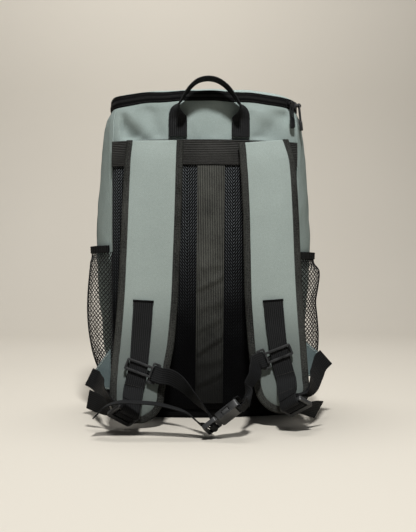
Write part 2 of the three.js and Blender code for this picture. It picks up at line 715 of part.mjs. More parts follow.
// Zip tape between two heights above the bag's rim
function buildZipTape(name, from, to) {
  const outline = bagOutline(RIM);
  const ring = (inset, above) => insetOutline(outline, inset)
    .map(({ x, y }) => new THREE.Vector3(x, y, RIM.z + rimLift(x) + above * zipScale(x)));
  const inside = SEAM_GAP + TAPE_THICK;
  const rings = [ring(SEAM_GAP, from), ring(SEAM_GAP, to), ring(inside, to), ring(inside, from)];
  addPiece(name, loft(rings, { wrap: true }), 'black');
}

// Back pad and its bands

function buildBackPad() {
  const inside = ({ z }) => z > PAD_BOTTOM + PAD_EDGE_STEP && z < PAD_TOP - PAD_EDGE_STEP;
  const between = BAG.filter(inside).map(({ z }) => z);
  const levels = [PAD_BOTTOM, PAD_BOTTOM + PAD_EDGE_STEP, ...between, PAD_TOP - PAD_EDGE_STEP, PAD_TOP];
  const thickness = (z, share) => {
    const rim = Math.min(z - PAD_BOTTOM, PAD_TOP - z, (1 - Math.abs(share)) * bagRow(z).back);
    return lerp(PAD_EDGE, PAD_THICK, smoothstep(rim, 0, PAD_SOFT_EDGE));
  };
  const grid = (depth) => levels.map((z) => PAD_SHARES.map((share) => (
    backPoint(share * PAD_REACH * bagRow(z).back, z, SEAM_GAP + depth(z, share)))));
  addPiece('back_pad', sheet(grid(thickness), grid(() => 0)), 'black');
}

// Band laid on the pad between two levels; sides gives its left and right edge at a level
function bandOnPad(name, levels, columns, sides) {
  const grid = (out) => levels.map((z) => {
    const [left, right] = sides(z);
    return steps(left, right, columns).map((x) => backPoint(x, z, out));
  });
  const under = PAD_THICK + SEAM_GAP * 2;
  addPiece(name, sheet(grid(under + BAND_THICK), grid(under)), 'webbing');
}

function buildBands() {
  const between = BAG.map(({ z }) => z).filter((z) => z > SPINE_BOTTOM && z < YOKE_BOTTOM);
  const spineLevels = [SPINE_BOTTOM, ...between, YOKE_BOTTOM - SEAM_GAP];
  bandOnPad('spine_band', spineLevels, SPINE_COLUMNS, (z) => {
    const middle = lerp(SPINE_MIDDLE.bottom, SPINE_MIDDLE.top, z / YOKE_BOTTOM);
    return [middle - SPINE_WIDTH / 2, middle + SPINE_WIDTH / 2];
  });
  bandOnPad('yoke_band', [YOKE_BOTTOM, YOKE_TOP], YOKE_COLUMNS, (z) => {
    const reach = bagRow(z).back * YOKE_REACH;
    return [-reach, reach];
  });
}

// Shoulder straps

// Strap with its middle line, and the place of any point along, across and out of it
function makeStrap(rows) {
  const line = new THREE.CatmullRomCurve3(rows.map(place), false, 'centripetal');
  const length = line.getLength();
  const roundFrom = length - STRAP_END;
  const frame = (along) => {
    const share = THREE.MathUtils.clamp(along / length, 0, 1);
    const at = line.getPointAt(share);
    const tangent = line.getTangentAt(share);
    const turn = degToRad(rowAt(rows, 'z', at.z).turn);
    const across = new THREE.Vector3(Math.cos(turn), Math.sin(turn), 0);
    across.addScaledVector(tangent, -across.dot(tangent)).normalize();
    return { at, u: tangent, v: across, w: new THREE.Vector3().crossVectors(tangent, across) };
  };
  const fullHalf = (along) => rowAt(rows, 'z', line.getPointAt(Math.min(along / length, 1)).z).wide / 2;
  const halfWidth = (along, inset) => {
    if (along <= roundFrom) return fullHalf(along) - inset;
    const share = Math.min(0.995, (along - roundFrom) / (STRAP_END - inset));
    return (fullHalf(roundFrom) - inset) * Math.sqrt(1 - share * share);
  };
  const alongAt = (z) => {
    let low = 0;
    let high = length;
    for (let i = 0; i < 30; i += 1) {
      const middle = (low + high) / 2;
      if (line.getPointAt(middle / length).z > z) low = middle;
      else high = middle;
    }
    return low;
  };
  const point = (along, across, out) => framePoint(frame(along), 0, across, out);
  return { length, roundFrom, frame, halfWidth, alongAt, point };
}

// Stations along a strap whose rounded end is drawn in by an inset
function strapStations(strap, inset) {
  const straight = steps(0, strap.roundFrom, STRAP_STEPS);
  const reach = STRAP_END - inset;
  return [...straight, ...STRAP_END_ANGLES.map((a) => strap.roundFrom + reach * Math.sin(degToRad(a)))];
}

// Half thickness of a strap at a share of its half width
const strapHalfThick = (share) => lerp(STRAP_EDGE, STRAP_MIDDLE, 1 - share ** 4) / 2;

function buildStrapPad(name, strap) {
  const inset = BINDING_WIDTH + SEAM_GAP;
  const sewn = (along) => lerp(STRAP_SEWN.pad, 1, smoothstep(along, 0, STRAP_SEWN.over));
  const tipFrom = strap.roundFrom + STRAP_TIP.from;
  const grid = (side) => strapStations(strap, inset).map((along) => {
    const half = strap.halfWidth(along, inset);
    const tip = lerp(1, STRAP_TIP.thick, smoothstep(along, tipFrom, strap.length));
    const thick = (share) => side * strapHalfThick(share) * sewn(along) * tip;
    return STRAP_SHARES.map((share) => strap.point(along, share * half, thick(share)));
  });
  addPiece(name, sheet(grid(1), grid(-1)), 'strapCloth');
}

// Bound edge that runs down one side of a strap, round its end and up the other
function buildBinding(name, strap) {
  const edge = (inset, side) => strapStations(strap, inset)
    .map((along) => ({ along, across: side * strap.halfWidth(along, inset) }));
  const loop = (inset) => [...edge(inset, -1), ...edge(inset, 1).reverse()];
  const outer = loop(0);
  const inner = loop(BINDING_WIDTH);
  const rings = outer.map((p, i) => {
    const q = inner[i];
    const half = (BINDING_THICK / 2) * lerp(STRAP_SEWN.binding, 1, smoothstep(p.along, 0, STRAP_SEWN.over));
    const edgeHalf = half * BINDING_OUTER;
    return [
      strap.point(p.along, p.across, edgeHalf), strap.point(q.along, q.across, half),
      strap.point(q.along, q.across, -half), strap.point(p.along, p.across, -edgeHalf),
    ];
  });
  addPiece(name, loft(rings), 'binding');
}

// Station of a route through a hard piece's frame
const frameStation = (frame, { along, out }) => ({ at: framePoint(frame, along, 0, out), across: frame.v });

// Place of the webbing's middle on a strap's face
function webOnStrap(strap, { z, shift, lift, wide }) {
  const along = strap.alongAt(z);
  const frame = strap.frame(along);
  const out = STRAP_MIDDLE / 2 + SEAM_GAP + WEB_THICK / 2 + lift;
  return { at: framePoint(frame, 0, shift, out), across: frame.v, frame, wide };
}

function buildStrapWebbing(name, strap, rows, lock) {
  const onStrap = rows.map((row) => webOnStrap(strap, row));
  const loop = LOCK_LOOP.map((row) => frameStation(lock, row));
  addPiece(name, ribbon([...onStrap, ...loop], WEB_WIDTH, WEB_THICK), 'webbing');
}

function buildLowerWebbing(name, { tail, run }, lock) {
  const way = LOCK_WAY.map((row) => frameStation(lock, row));
  const stations = [...tail.map(tableStation), ...way, ...run.map(tableStation)];
  addPiece(name, ribbon(stations, WEB_WIDTH, THIN_WEB), 'webbing');
}

function buildLock(name, frame) {
  const half = LOCK_SLOT_WIDTH / 2;
  const shape = roundedRectangle(THREE.Shape, [-LOCK_LENGTH / 2, LOCK_LENGTH / 2],
    [-LOCK_WIDTH / 2, LOCK_WIDTH / 2], LOCK_CORNER);
  for (const { from, to } of LOCK_SLOTS) {
    shape.holes.push(roundedRectangle(THREE.Path, [from, to], [-half, half], SLOT_CORNER));
  }
  setInFrame(addPiece(name, plate(shape, [-LOCK_THICK / 2, LOCK_THICK / 2]), 'plastic'), frame);
}

function buildTab(name, { sewnTop, sewnLow, outTop, outLow }) {
  const corners = [sewnTop, sewnLow, outLow, outTop].map(vector);
  const normal = new THREE.Vector3().crossVectors(
    corners[1].clone().sub(corners[0]), corners[3].clone().sub(corners[0])).normalize();
  const face = (side) => [[corners[0], corners[3]], [corners[1], corners[2]]].map((row) => (
    row.map((p) => p.clone().addScaledVector(normal, (side * TAB_THICK) / 2))));
  addPiece(name, sheet(face(1), face(-1)), 'cloth');
}

// Sternum strap

// Frame of a clip on the strap webbing: along the webbing, inward across it, and out
function clipFrame(strap, rows, { z, shift, turn, inward }) {
  const { at, frame } = webOnStrap(strap, { z, shift, lift: rowAt(rows, 'z', z).lift });
  const across = frame.v.clone().applyAxisAngle(frame.w, degToRad(turn)).multiplyScalar(inward);
  const along = new THREE.Vector3().crossVectors(across, frame.w);
  return { at, u: along, v: across, w: frame.w };
}

function buildClip(name, frame) {
  const { inner, outer } = CLIP_RAIL;
  const ring = CLIP_RING;
  const top = roundedRectangle(THREE.Shape, [-CLIP_HALF, CLIP_HALF], [-outer, outer], CLIP_CORNER);
  const opening = CLIP_HALF - CLIP_BAR;
  top.holes.push(roundedRectangle(THREE.Path, [-opening, opening], [-inner, inner], CLIP_HOLE_CORNER));
  const loop = roundedRectangle(THREE.Shape, [-ring.half, ring.half], [inner, ring.outer], CLIP_CORNER);
  const hole = [-ring.halfHole, ring.halfHole];
  loop.holes.push(roundedRectangle(THREE.Path, hole, [outer, ring.hole], CLIP_HOLE_CORNER));
  let clip = toSolid(plate(top, [CLIP_OVER.from, CLIP_OVER.to]));
  clip = clip.add(toSolid(plate(loop, [-ring.thick / 2, ring.thick / 2])));
  const railHalf = CLIP_HALF - CLIP_RAIL_TRIM;
  for (const side of [-1, 1]) {
    const rail = [side * inner, side * outer].sort((a, b) => a - b);
    clip = clip.add(boxSolid([-railHalf, railHalf], rail, [CLIP_UNDER.from, CLIP_OVER.from + FUSE]));
  }
  const under = [CLIP_UNDER.from, CLIP_UNDER.to];
  clip = clip.add(boxSolid([-CLIP_BAR / 2, CLIP_BAR / 2], [-outer + FUSE, outer - FUSE], under));
  setInFrame(addPiece(name, toGeometry(clip), 'plastic'), frame);
}

const clipStation = (frame, { inward, out }) => ({ at: framePoint(frame, 0, inward, out), across: frame.u });

function buildSternumStraps(leftClip, rightClip, buckle) {
  const turned = ({ at, across }) => ({ at, across: across.clone().negate() });
  const left = [
    ...CLIP_LOOP.map((row) => turned(clipStation(leftClip, row))),
    ...STERNUM_LEFT.map(tableStation),
    ...PLUG_WAY.map((row) => turned(frameStation(buckle, row))),
    ...STERNUM_TAIL.map(tableStation),
  ];
  const right = [
    ...CLIP_LOOP.map((row) => clipStation(rightClip, row)),
    ...STERNUM_RIGHT.map(tableStation),
    ...SOCKET_LOOP.map((row) => frameStation(buckle, row)),
  ];
  addPiece('sternum_strap_left', ribbon(left, STERNUM_WIDTH, THIN_WEB), 'webbing');
  addPiece('sternum_strap_right', ribbon(right, STERNUM_WIDTH, THIN_WEB), 'webbing');
}

function buildPlug(frame) {
  const width = [-BUCKLE_HALF_WIDTH, BUCKLE_HALF_WIDTH];
  const block = roundedRectangle(THREE.Shape, [PLUG.end, PLUG.shoulder], width, PLUG.corner);
  const slotHalf = STERNUM_WIDTH / 2 + PLUG_SLOT_CLEAR;
  for (const { from, to } of PLUG_SLOTS) {
    block.holes.push(roundedRectangle(THREE.Path, [from, to], [-slotHalf, slotHalf], SLOT_CORNER));
  }
  let plug = toSolid(plate(block, [-PLUG.thick / 2, PLUG.thick / 2]));
  const root = PLUG.shoulder - FUSE;
  const tip = PLUG.shoulder + PRONG.length;
  const { from, to, clear, slope } = SOCKET_WINDOW;
  const height = [-PRONG.thick / 2, PRONG.thick / 2];
  for (const side of [-1, 1]) {
    const prong = new THREE.Shape([
      new THREE.Vector2(root, side * PRONG.inner),
      new THREE.Vector2(tip - PRONG.tip, side * PRONG.inner),
      new THREE.Vector2(tip, side * (PRONG.inner + PRONG.tipIn)),
      new THREE.Vector2(tip - PRONG.tipOut, side * PRONG.outer),
      new THREE.Vector2(to - clear, side * PRONG.button),
      new THREE.Vector2(from + clear, side * PRONG.button),
      new THREE.Vector2(from + slope, side * PRONG.outer),
      new THREE.Vector2(root, side * PRONG.outer),
    ]);
    plug = plug.add(toSolid(plate(prong, height)));
  }
  plug = plug.add(boxSolid([root, tip - TONGUE.short], [-TONGUE.half, TONGUE.half], height));
  setInFrame(addPiece('buckle_plug', toGeometry(plug), 'plastic'), frame);
}

function buildSocket(frame) {
  const width = [-BUCKLE_HALF_WIDTH, BUCKLE_HALF_WIDTH];
  const body = roundedRectangle(THREE.Shape, [SOCKET.mouth, SOCKET.end], width, SOCKET.corner);
  const slot = [SOCKET_SLOT.from, SOCKET_SLOT.to];
  body.holes.push(roundedRectangle(THREE.Path, slot, [-SOCKET_SLOT.half, SOCKET_SLOT.half], SLOT_CORNER));
  const { tall, half, end } = SOCKET_CAVITY;
  const height = [-tall / 2, tall / 2];
  const reach = BUCKLE_HALF_WIDTH + FUSE;
  let socket = toSolid(plate(body, [-SOCKET.thick / 2, SOCKET.thick / 2]));
  socket = socket.subtract(boxSolid([SOCKET.mouth - FUSE, end], [-half, half], height));
  socket = socket.subtract(boxSolid([SOCKET_WINDOW.from, SOCKET_WINDOW.to], [-reach, reach], height));
  setInFrame(addPiece('buckle_socket', toGeometry(socket), 'plastic'), frame);
}

// Handle, pockets and zip sliders

function buildHandle() {
  const stations = HANDLE.map(({ x, out, z, turn }) => {
    const angle = degToRad(turn);
    const at = backPoint(x, Math.min(z, RIM.z), out).setZ(z);
    return { at, across: new THREE.Vector3(Math.cos(angle), -Math.sin(angle), 0) };
  });
  addPiece('grab_handle', ribbon(stations, HANDLE_WIDTH, HANDLE_THICK), 'webbing');
}

// How far a pocket's mouth stands open at a place along the side
const mouthGape = (t) => MOUTH.clear + MOUTH.gape * Math.exp(-(((t - MOUTH.at) / MOUTH.half) ** 2));

// Share of a pocket's fullness: straight out from the back corner, then round to the front
function pocketShare(t) {
  const share = (t - POCKET_FROM) / (POCKET_TO - POCKET_FROM);
  if (share < POCKET_PEAK) return share / POCKET_PEAK;
  return 1 - ((share - POCKET_PEAK) / (1 - POCKET_PEAK)) ** POCKET_FALL;
}

function buildPocket({ name, mirror, hem }) {
  const levels = [...POCKET.map(({ z }) => z).filter((z) => z < hem - NET_TOP_STEP), hem];
  const places = steps(POCKET_FROM, POCKET_TO, POCKET_STEPS);
  const stand = (t, z) => {
    const full = rowAt(POCKET, 'z', z)[name] * pocketShare(t);
    return lerp(NET_CLEAR + full, mouthGape(t), smoothstep(z, hem - MOUTH.over, hem));
  };
  const wall = (zs, thick) => [thick, 0].map((extra) => zs.map((z) => (
    places.map((t) => sidePoint(mirror, t, z, stand(t, Math.min(z, hem)) + extra)))));
  addPiece(`side_pocket_${name}`, sheet(...wall(levels, NET_WALL)), 'net');
  addPiece(`pocket_hem_${name}`, sheet(...wall([hem + SEAM_GAP, hem + HEM_HEIGHT], HEM_THICK)), 'webbing');
}

// Frame of a zip slider: along the zip, out from the bag, and up
function sliderFrame({ x, t, face }) {
  const z = RIM.z + ZIP_HEIGHT / 2;
  const at = face === 'back' ? backPoint(x, RIM.z, 0) : sidePoint(1, t, RIM.z, 0);
  const ahead = face === 'back' ? backPoint(x, RIM.z, 1) : sidePoint(1, t, RIM.z, 1);
  const out = ahead.sub(at).normalize();
  const up = new THREE.Vector3(0, 0, 1);
  const along = new THREE.Vector3().crossVectors(out, up);
  return { at: at.clone().setZ(z + rimLift(at.x)), u: along, v: out, w: up };
}

// Round bar along X
function barSolid(radius, length, sides) {
  return toSolid(new THREE.CylinderGeometry(radius, radius, length, sides).rotateZ(Math.PI / 2));
}

function buildSlider({ name, frame }) {
  const { long, tall, thick } = SLIDER;
  let slider = boxSolid([-long / 2, long / 2], [0, thick], [-tall / 2, tall / 2]);
  for (const side of [-1, 1]) {
    const ends = [side * POST.at, side * (POST.at + POST.wide)].sort((a, b) => a - b);
    const post = boxSolid(ends, [thick - FUSE, PIN.out + POST.past], [-POST.half, POST.half]);
    slider = slider.add(post);
  }
  const pin = toGeometry(barSolid(PIN.radius, POST.at * 2 + POST.wide, PIN.sides)).translate(0, PIN.out, 0);
  slider = slider.add(toSolid(pin));
  setInFrame(addPiece(`zip_slider_${name}`, toGeometry(slider), 'metal'), frame);
}

// Strip of a pull, hanging down from the middle of its eye
function hangingShape(Kind, { top, end, wide, corner }) {
  return roundedRectangle(Kind, [-wide / 2, wide / 2], [end, top], corner);
}

function buildPull({ name, frame, lean }) {
  const loop = hangingShape(THREE.Shape, PULL_LOOP);
  loop.holes.push(hangingShape(THREE.Path, PULL_SLOT));
  const grip = hangingShape(THREE.Shape, PULL_GRIP);
  const upright = (shape, { thick }) => toSolid(plate(shape, [-thick / 2, thick / 2]).rotateX(Math.PI / 2));
  let pull = barSolid(PULL_EYE.radius, PULL_EYE.length, PULL_EYE.sides);
  pull = pull.add(upright(loop, PULL_LOOP)).add(upright(grip, PULL_GRIP));
  pull = pull.subtract(barSolid(PULL_EYE.hole, PULL_EYE.length * 2, PULL_EYE.sides));
  const turn = degToRad(lean);
  setInFrame(addPiece(`zip_pull_${name}`, toGeometry(pull), 'plastic'), {
    at: framePoint(frame, 0, PIN.out, 0),
    u: frame.u,
    v: frame.v.clone().applyAxisAngle(frame.u, turn),
    w: frame.w.clone().applyAxisAngle(frame.u, turn),
  });
}

buildBag();
buildBase();
buildLid();
buildZipTape('zip_tape_body', SEAM_GAP, ZIP_HEIGHT / 2 - SEAM_GAP / 2);
buildZipTape('zip_tape_lid', ZIP_HEIGHT / 2 + SEAM_GAP / 2, ZIP_HEIGHT - SEAM_GAP);
buildBackPad();
buildBands();
buildHandle();

const SIDES = [
  {
    name: 'left', rows: STRAP_LEFT, web: WEB_ON_LEFT, lock: LOCK_LEFT,
    lower: LOWER_LEFT, tab: TAB_LEFT, clip: CLIP_LEFT,
  },
  {
    name: 'right', rows: STRAP_RIGHT, web: WEB_ON_RIGHT, lock: LOCK_RIGHT,
    lower: LOWER_RIGHT, tab: TAB_RIGHT, clip: CLIP_RIGHT,
  },
];
const clips = {};
for (const side of SIDES) {
  const strap = makeStrap(side.rows);
  const lock = hardFrame(side.lock);
  buildStrapPad(`shoulder_strap_${side.name}`, strap);
  buildBinding(`strap_binding_${side.name}`, strap);
  buildStrapWebbing(`strap_webbing_${side.name}`, strap, side.web, lock);
  buildLowerWebbing(`lower_webbing_${side.name}`, side.lower, lock);
  buildLock(`ladder_lock_${side.name}`, lock);
  buildTab(`corner_tab_${side.name}`, side.tab);
  clips[side.name] = clipFrame(strap, side.web, side.clip);
  buildClip(`sternum_slider_${side.name}`, clips[side.name]);
}

const buckle = hardFrame(BUCKLE);
buildPlug(buckle);
buildSocket(buckle);
buildSternumStraps(clips.left, clips.right, buckle);
POCKET_SIDES.forEach(buildPocket);
for (const setting of SLIDERS) {
  const slider = { ...setting, frame: sliderFrame(setting) };
  buildSlider(slider);
  buildPull(slider);
}

export default pack;
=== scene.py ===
"""A grey box-shaped backpack from its strap side: cloth, pads, webbing and fittings on the CAD frame."""

import math
from functools import partialmethod

import bmesh
import bpy
import numpy as np
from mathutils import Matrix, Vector, noise
from numpy.linalg import norm


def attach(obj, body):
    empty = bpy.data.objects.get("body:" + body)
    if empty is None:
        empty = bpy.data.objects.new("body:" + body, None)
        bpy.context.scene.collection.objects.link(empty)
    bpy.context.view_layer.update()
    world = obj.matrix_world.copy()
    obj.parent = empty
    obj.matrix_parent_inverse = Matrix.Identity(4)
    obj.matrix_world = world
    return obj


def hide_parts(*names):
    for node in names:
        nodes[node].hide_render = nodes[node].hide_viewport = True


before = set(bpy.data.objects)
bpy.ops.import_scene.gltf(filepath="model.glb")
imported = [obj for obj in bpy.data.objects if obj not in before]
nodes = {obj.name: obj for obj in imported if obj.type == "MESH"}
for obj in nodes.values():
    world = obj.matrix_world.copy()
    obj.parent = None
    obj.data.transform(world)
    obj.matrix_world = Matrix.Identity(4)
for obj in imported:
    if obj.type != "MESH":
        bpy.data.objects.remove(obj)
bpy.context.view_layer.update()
scene = bpy.context.scene

MM = 0.001
SIDES = ("left", "right")

# Sizes of the bag that the CAD parts also have, in millimetres
WALL = 2.5
GAP = 0.4
BASE_Z = 12
FULLEST_Z = 250
RIM_Z = 406
RIM_SIDE = 129
RIM_LIFT = 8
RIM_ARCH = 2.6
ZIP_HEIGHT = 13.4
ZIP_WIDER = 0.2
BACK_CORNER = 9
FRONT_CORNER = 32
PAD_TOP = 363
PAD_BOTTOM = 11.9
PAD_REACH = 0.985
PAD_THICK = 6
SPINE_WIDTH = 35
SPINE_BOTTOM = 21
YOKE_BOTTOM = 329
YOKE_TOP = 362
YOKE_REACH = 0.966

# Levels of the bag: z, back, side, front, back_y, bow, front_y, belly
BAG = np.array([
    (12, 119, 126, 117, -56, 22, 58, 16),
    (40, 121, 132, 121, -55, 24, 62, 18),
    (80, 122, 139, 123, -54, 25, 65, 19),
    (130, 123, 145, 125, -54, 26, 67, 20),
    (190, 123, 149, 126, -54, 26, 68, 20),
    (250, 124, 151, 127, -54, 26, 68, 20),
    (315, 124, 146, 126, -54, 26, 67, 19),
    (362, 124, 142, 124, -54, 25, 65, 18),
    (377, 123.5, 140, 123, -54, 24.5, 64, 17),
    (391, 123, 137.5, 121, -53.5, 24, 62, 16),
    (400, 121.5, 134, 118.5, -52.5, 24, 60, 15),
    (406, 119.5, 129, 116, -51.5, 24, 57, 14),
], float)

# Folds of the upper back panel: x0, z0, x1, z1, half width, depth
BACK_FOLDS = [
    (-123, 400, -98, 368, 10, 7),
    (-110, 402, -80, 372, 8, -2.5),
    (-76, 402, -62, 372, 9, 2.4),
    (112, 402, 72, 364, 12, 4),
    (62, 398, 96, 384, 9, -2),
    (20, 400, 12, 372, 12, 1.4),
]

# Lid from its middle to its rim: share of the rim outline, rise, extra rise on the fuller right side
LID = np.array([(0, 9.2, 2.2), (0.38, 8.5, 2.4), (0.72, 6.4, 2.6), (0.96, 1.4, 1.6), (1, 0, 0)], float)

# Middle line of each shoulder strap: x, y, z, width, turn in degrees
STRAPS = {
    "left": np.array([
        (-65.5, -84.5, 361, 76, -12), (-67, -89, 334, 77, -10.5), (-69, -98, 272, 76.5, -5),
        (-71, -105, 215, 76, -2), (-73.5, -111.5, 155, 76, 0), (-78, -120, 101, 75, 0),
        (-82, -127, 72, 72, 0), (-85.5, -134, 44, 67, 0), (-84, -140, 6, 66, 0),
    ], float),
    "right": np.array([
        (75.5, -82.5, 361, 70, 13.5), (80, -88, 334, 75, 11.5), (83, -98, 272, 73, 5),
        (84, -105, 215, 73, 2), (85.5, -111.5, 155, 74, 0), (88.5, -120, 101, 73.5, 0),
        (91.5, -128, 62, 71, 0), (94.5, -134, 42, 67, 0), (97, -139, 17, 66, 0),
    ], float),
}
STRAP_MIDDLE = 12
STRAP_EDGE = 4.6
STRAP_END = 33
BINDING_WIDTH = 8.6
BINDING_THICK = 6

# Corner tabs: sewn top, sewn low, outer low, outer top
TABS = {
    "left": [(-125, -58.5, 89), (-124, -59.5, 35), (-146, -63, 37.5), (-157.5, -64, 44.5)],
    "right": [(126, -58.5, 104), (126, -59.5, 51), (153, -63, 52.5), (168.5, -64, 69.5)],
}

# How far each pocket's net stands off the bag: z, left, right
POCKET = np.array([
    (14, 1.5, 1.5), (45, 7, 9), (75, 13.6, 18.2), (100, 15.6, 17.6), (126, 15.6, 13.6),
    (149, 14, 9.8), (170, 11.6, 11.8), (190, 8.8, 12.4), (201, 7.2, 9.4),
], float)
POCKET_HEM = {"left": 217, "right": 208.5}
POCKET_FROM = 0.02
POCKET_TO = 0.95
POCKET_PEAK = 0.32
POCKET_FALL = 7
HEM_HEIGHT = 9
NET_BOTTOM = 14
NET_WIDE = 118
NET_SEAM = 8
NET_PITCH = 6.2

# Yarn of the net, finer where it is stretched round the front: length from the corner, radius
NET_YARN = [(0, 18, 28, 37, 43), (0.76, 0.76, 0.6, 0.54, 0.28)]

# Creases across the spine band: z at its middle, rise to the right, half width, depth
SPINE_CREASES = [
    (193, 0.1, 5, 0.9), (171, 0.5, 5, 2), (141, 0.3, 6, 1), (118, 0.55, 5, 1.2),
    (91, 0.7, 5, 2), (68, 0.2, 6, 1.2), (47, 0.5, 5, 1.6),
]

# Levels of the cross seams on the strap webbing, and where its doubled end stops
WEB_SEAMS = {"left": (52,), "right": (65, 47)}
WEB_DOUBLED = {"left": 36, "right": 41}

# Sockets of a Mix node that mixes colours
MIX_SHARE, MIX_FROM, MIX_TO, MIX_RESULT = 0, 6, 7, 2


class Value:
    """A socket of a finish's nodes; maths on it adds Math nodes."""

    def __init__(self, finish, socket):
        self.finish = finish
        self.socket = socket

    def maths(self, operation, *others):
        inputs = dict(enumerate((self, *others)))
        return self.finish.node("ShaderNodeMath", {"operation": operation}, inputs)

    __add__ = __radd__ = partialmethod(maths, "ADD")
    __mul__ = __rmul__ = partialmethod(maths, "MULTIPLY")
    __sub__ = partialmethod(maths, "SUBTRACT")
    __gt__ = partialmethod(maths, "GREATER_THAN")
    __abs__ = partialmethod(maths, "ABSOLUTE")
    sine = partialmethod(maths, "SINE")
    zigzag = partialmethod(maths, "PINGPONG")

    def __rsub__(self, other):
        return self.finish.node("ShaderNodeMath", {"operation": "SUBTRACT"}, {0: other, 1: self})

    def swing(self, reach):
        """A value from 0 to 1 turned into a swing about 0."""
        return (self - 0.5) * reach

    def between(self, low=0.0, high=1.0):
        """Smooth step of this value from 0 at low to 1 at high."""
        sockets = {"Value": self, "From Min": low, "From Max": high}
        return self.finish.node("ShaderNodeMapRange", {"interpolation_type": "SMOOTHSTEP"}, sockets)


class Finish:
    """A procedural material that keeps the name of one of the record's slots; constants sit on the
    shader's own sockets.
    """

    def __init__(self, name, slot, **constants):
        self.material = bpy.data.materials.new(name)
        self.material.use_nodes = True
        self.slot = slot
        self.tree = self.material.node_tree
        self.shader = self.tree.nodes["Principled BSDF"]
        sockets = {socket.name.lower().replace(" ", "_"): socket for socket in self.shader.inputs}
        for key, value in constants.items():
            sockets[key].default_value = value

    def node(self, kind, settings=None, sockets=None, output=0):
        """Output of a new node; its sockets take other nodes' values, constants or colour codes."""
        made = self.tree.nodes.new(kind)
        for key, value in (settings or {}).items():
            setattr(made, key, value)
        for key, value in (sockets or {}).items():
            if isinstance(value, Value):
                self.tree.links.new(value.socket, made.inputs[key])
            else:
                made.inputs[key].default_value = colour(value) if isinstance(value, str) else value
        return Value(self, made.outputs[output])

    def feed(self, socket, value):
        self.tree.links.new(value.socket, self.shader.inputs[socket])

    def mix(self, share, start, end):
        sockets = {MIX_SHARE: share, MIX_FROM: start, MIX_TO: end}
        return self.node("ShaderNodeMix", {"data_type": "RGBA"}, sockets, MIX_RESULT)

    def flat(self):
        """Lengths across and along the flat cloth, in metres."""
        place = self.node("ShaderNodeTexCoord", output="UV")
        across = self.node("ShaderNodeSeparateXYZ", None, {"Vector": place})
        return across, Value(self, across.socket.node.outputs["Y"])

    def place(self):
        return self.node("ShaderNodeTexCoord", output="Object")

    def painted_shade(self, low, high, darkest):
        """Painted shade: a share that falls from 1 at a high level of the pack to a darkest value at a low
        one, darkening colours low down as shade would.
        """
        level = self.node("ShaderNodeSeparateXYZ", None, {"Vector": self.place()}, "Z")
        return darkest + level.between(low, high) * (1 - darkest)

    def noise(self, scale, detail):
        sockets = {"Vector": self.place(), "Scale": scale, "Detail": detail}
        return self.node("ShaderNodeTexNoise", None, sockets)

    def bump(self, height, distance, strength):
        sockets = {"Height": height, "Distance": distance, "Strength": strength}
        self.feed("Normal", self.node("ShaderNodeBump", None, sockets))


def colour(code):
    """Linear colour of a six-digit screen colour."""
    parts = [int(code[i:i + 2], 16) / 255 for i in (0, 2, 4)]
    return tuple(c / 12.92 if c <= 0.04045 else ((c + 0.055) / 1.055) ** 2.4 for c in parts) + (1.0,)


# Cloth in deep shade; threads of webbing, and rows, holes, turns and middle of the mesh, in metres
SHADED_CLOTH = "2A2C2B"
CROSS_THREAD = 0.0011
MESH_ROW = 0.0042
MESH_HOLE = 0.0031
MESH_TURN = 0.01425
MESH_MIDDLE = 0.006
MESH_SLANT = 1.45


def woven_cloth(name, slot, light, dark, pitch, rough, blotch, sheen=0.0, darkest=1.0, flecks=0.5):
    """Woven cloth with flecked threads, soft blotches and a fine weave, with painted shade that darkens it
    low down where asked.
    """
    finish = Finish(name, slot, sheen_weight=sheen, sheen_roughness=0.5, specular_ior_level=0.06)
    across, along = ((length * (math.pi / pitch)).sine() for length in finish.flat())
    over = across * along > 0
    weave = over * abs(across) + (1 - over) * abs(along)
    fleck = finish.noise(scale=700, detail=2)
    cloud = finish.noise(scale=14, detail=4)
    shade = cloud.swing(blotch) + fleck.swing(flecks) + weave * 0.35 + 0.25
    tone = finish.mix(shade.between(), dark, light)
    # painted shade: low on the pack the colour fades towards cloth in deep shade
    if darkest < 1:
        tone = finish.mix(finish.painted_shade(0.08, 0.18, darkest), SHADED_CLOTH, tone)
    finish.feed("Base Color", tone)
    finish.feed("Roughness", rough + fleck.swing(0.2))
    finish.bump(weave * 0.7 + fleck * 0.5, distance=0.0004, strength=0.5)
    return finish


def ribbed_webbing(name, light, dark, pitch, darkest=1.0):
    """Webbing of close cross threads over lengthwise ribs that are a shade lighter, with painted shade low
    down where asked.
    """
    finish = Finish(name, "webbing", specular_ior_level=0.1)
    u, v = finish.flat()
    rib = 0.5 - 0.5 * (u * (2 * math.pi / pitch) + math.pi / 2).sine()
    slant = abs((v * (math.pi / CROSS_THREAD) + rib * 1.6).sine())
    fleck = finish.noise(scale=900, detail=2)
    worn = finish.noise(scale=40, detail=4)
    shade = rib * 0.6 + slant * 0.2 + fleck.swing(0.5) + worn.swing(0.5)
    # painted shade: the light threads darken low on the pack
    if darkest < 1:
        light = finish.mix(finish.painted_shade(0.02, 0.22, darkest), dark, light)
    finish.feed("Base Color", finish.mix(shade.between(), dark, light))
    finish.feed("Roughness", 0.7 + worn.swing(0.25))
    finish.bump(slant + fleck * 0.4, distance=0.0003, strength=0.6)
    return finish


def spun_yarn(name, slot, light, dark):
    """Twisted sewing thread or net yarn."""
    finish = Finish(name, slot, roughness=0.7, specular_ior_level=0.2)
    twist = finish.noise(scale=1200, detail=3)
    finish.feed("Base Color", finish.mix(twist.between(0.3, 0.7), dark, light))
    return finish


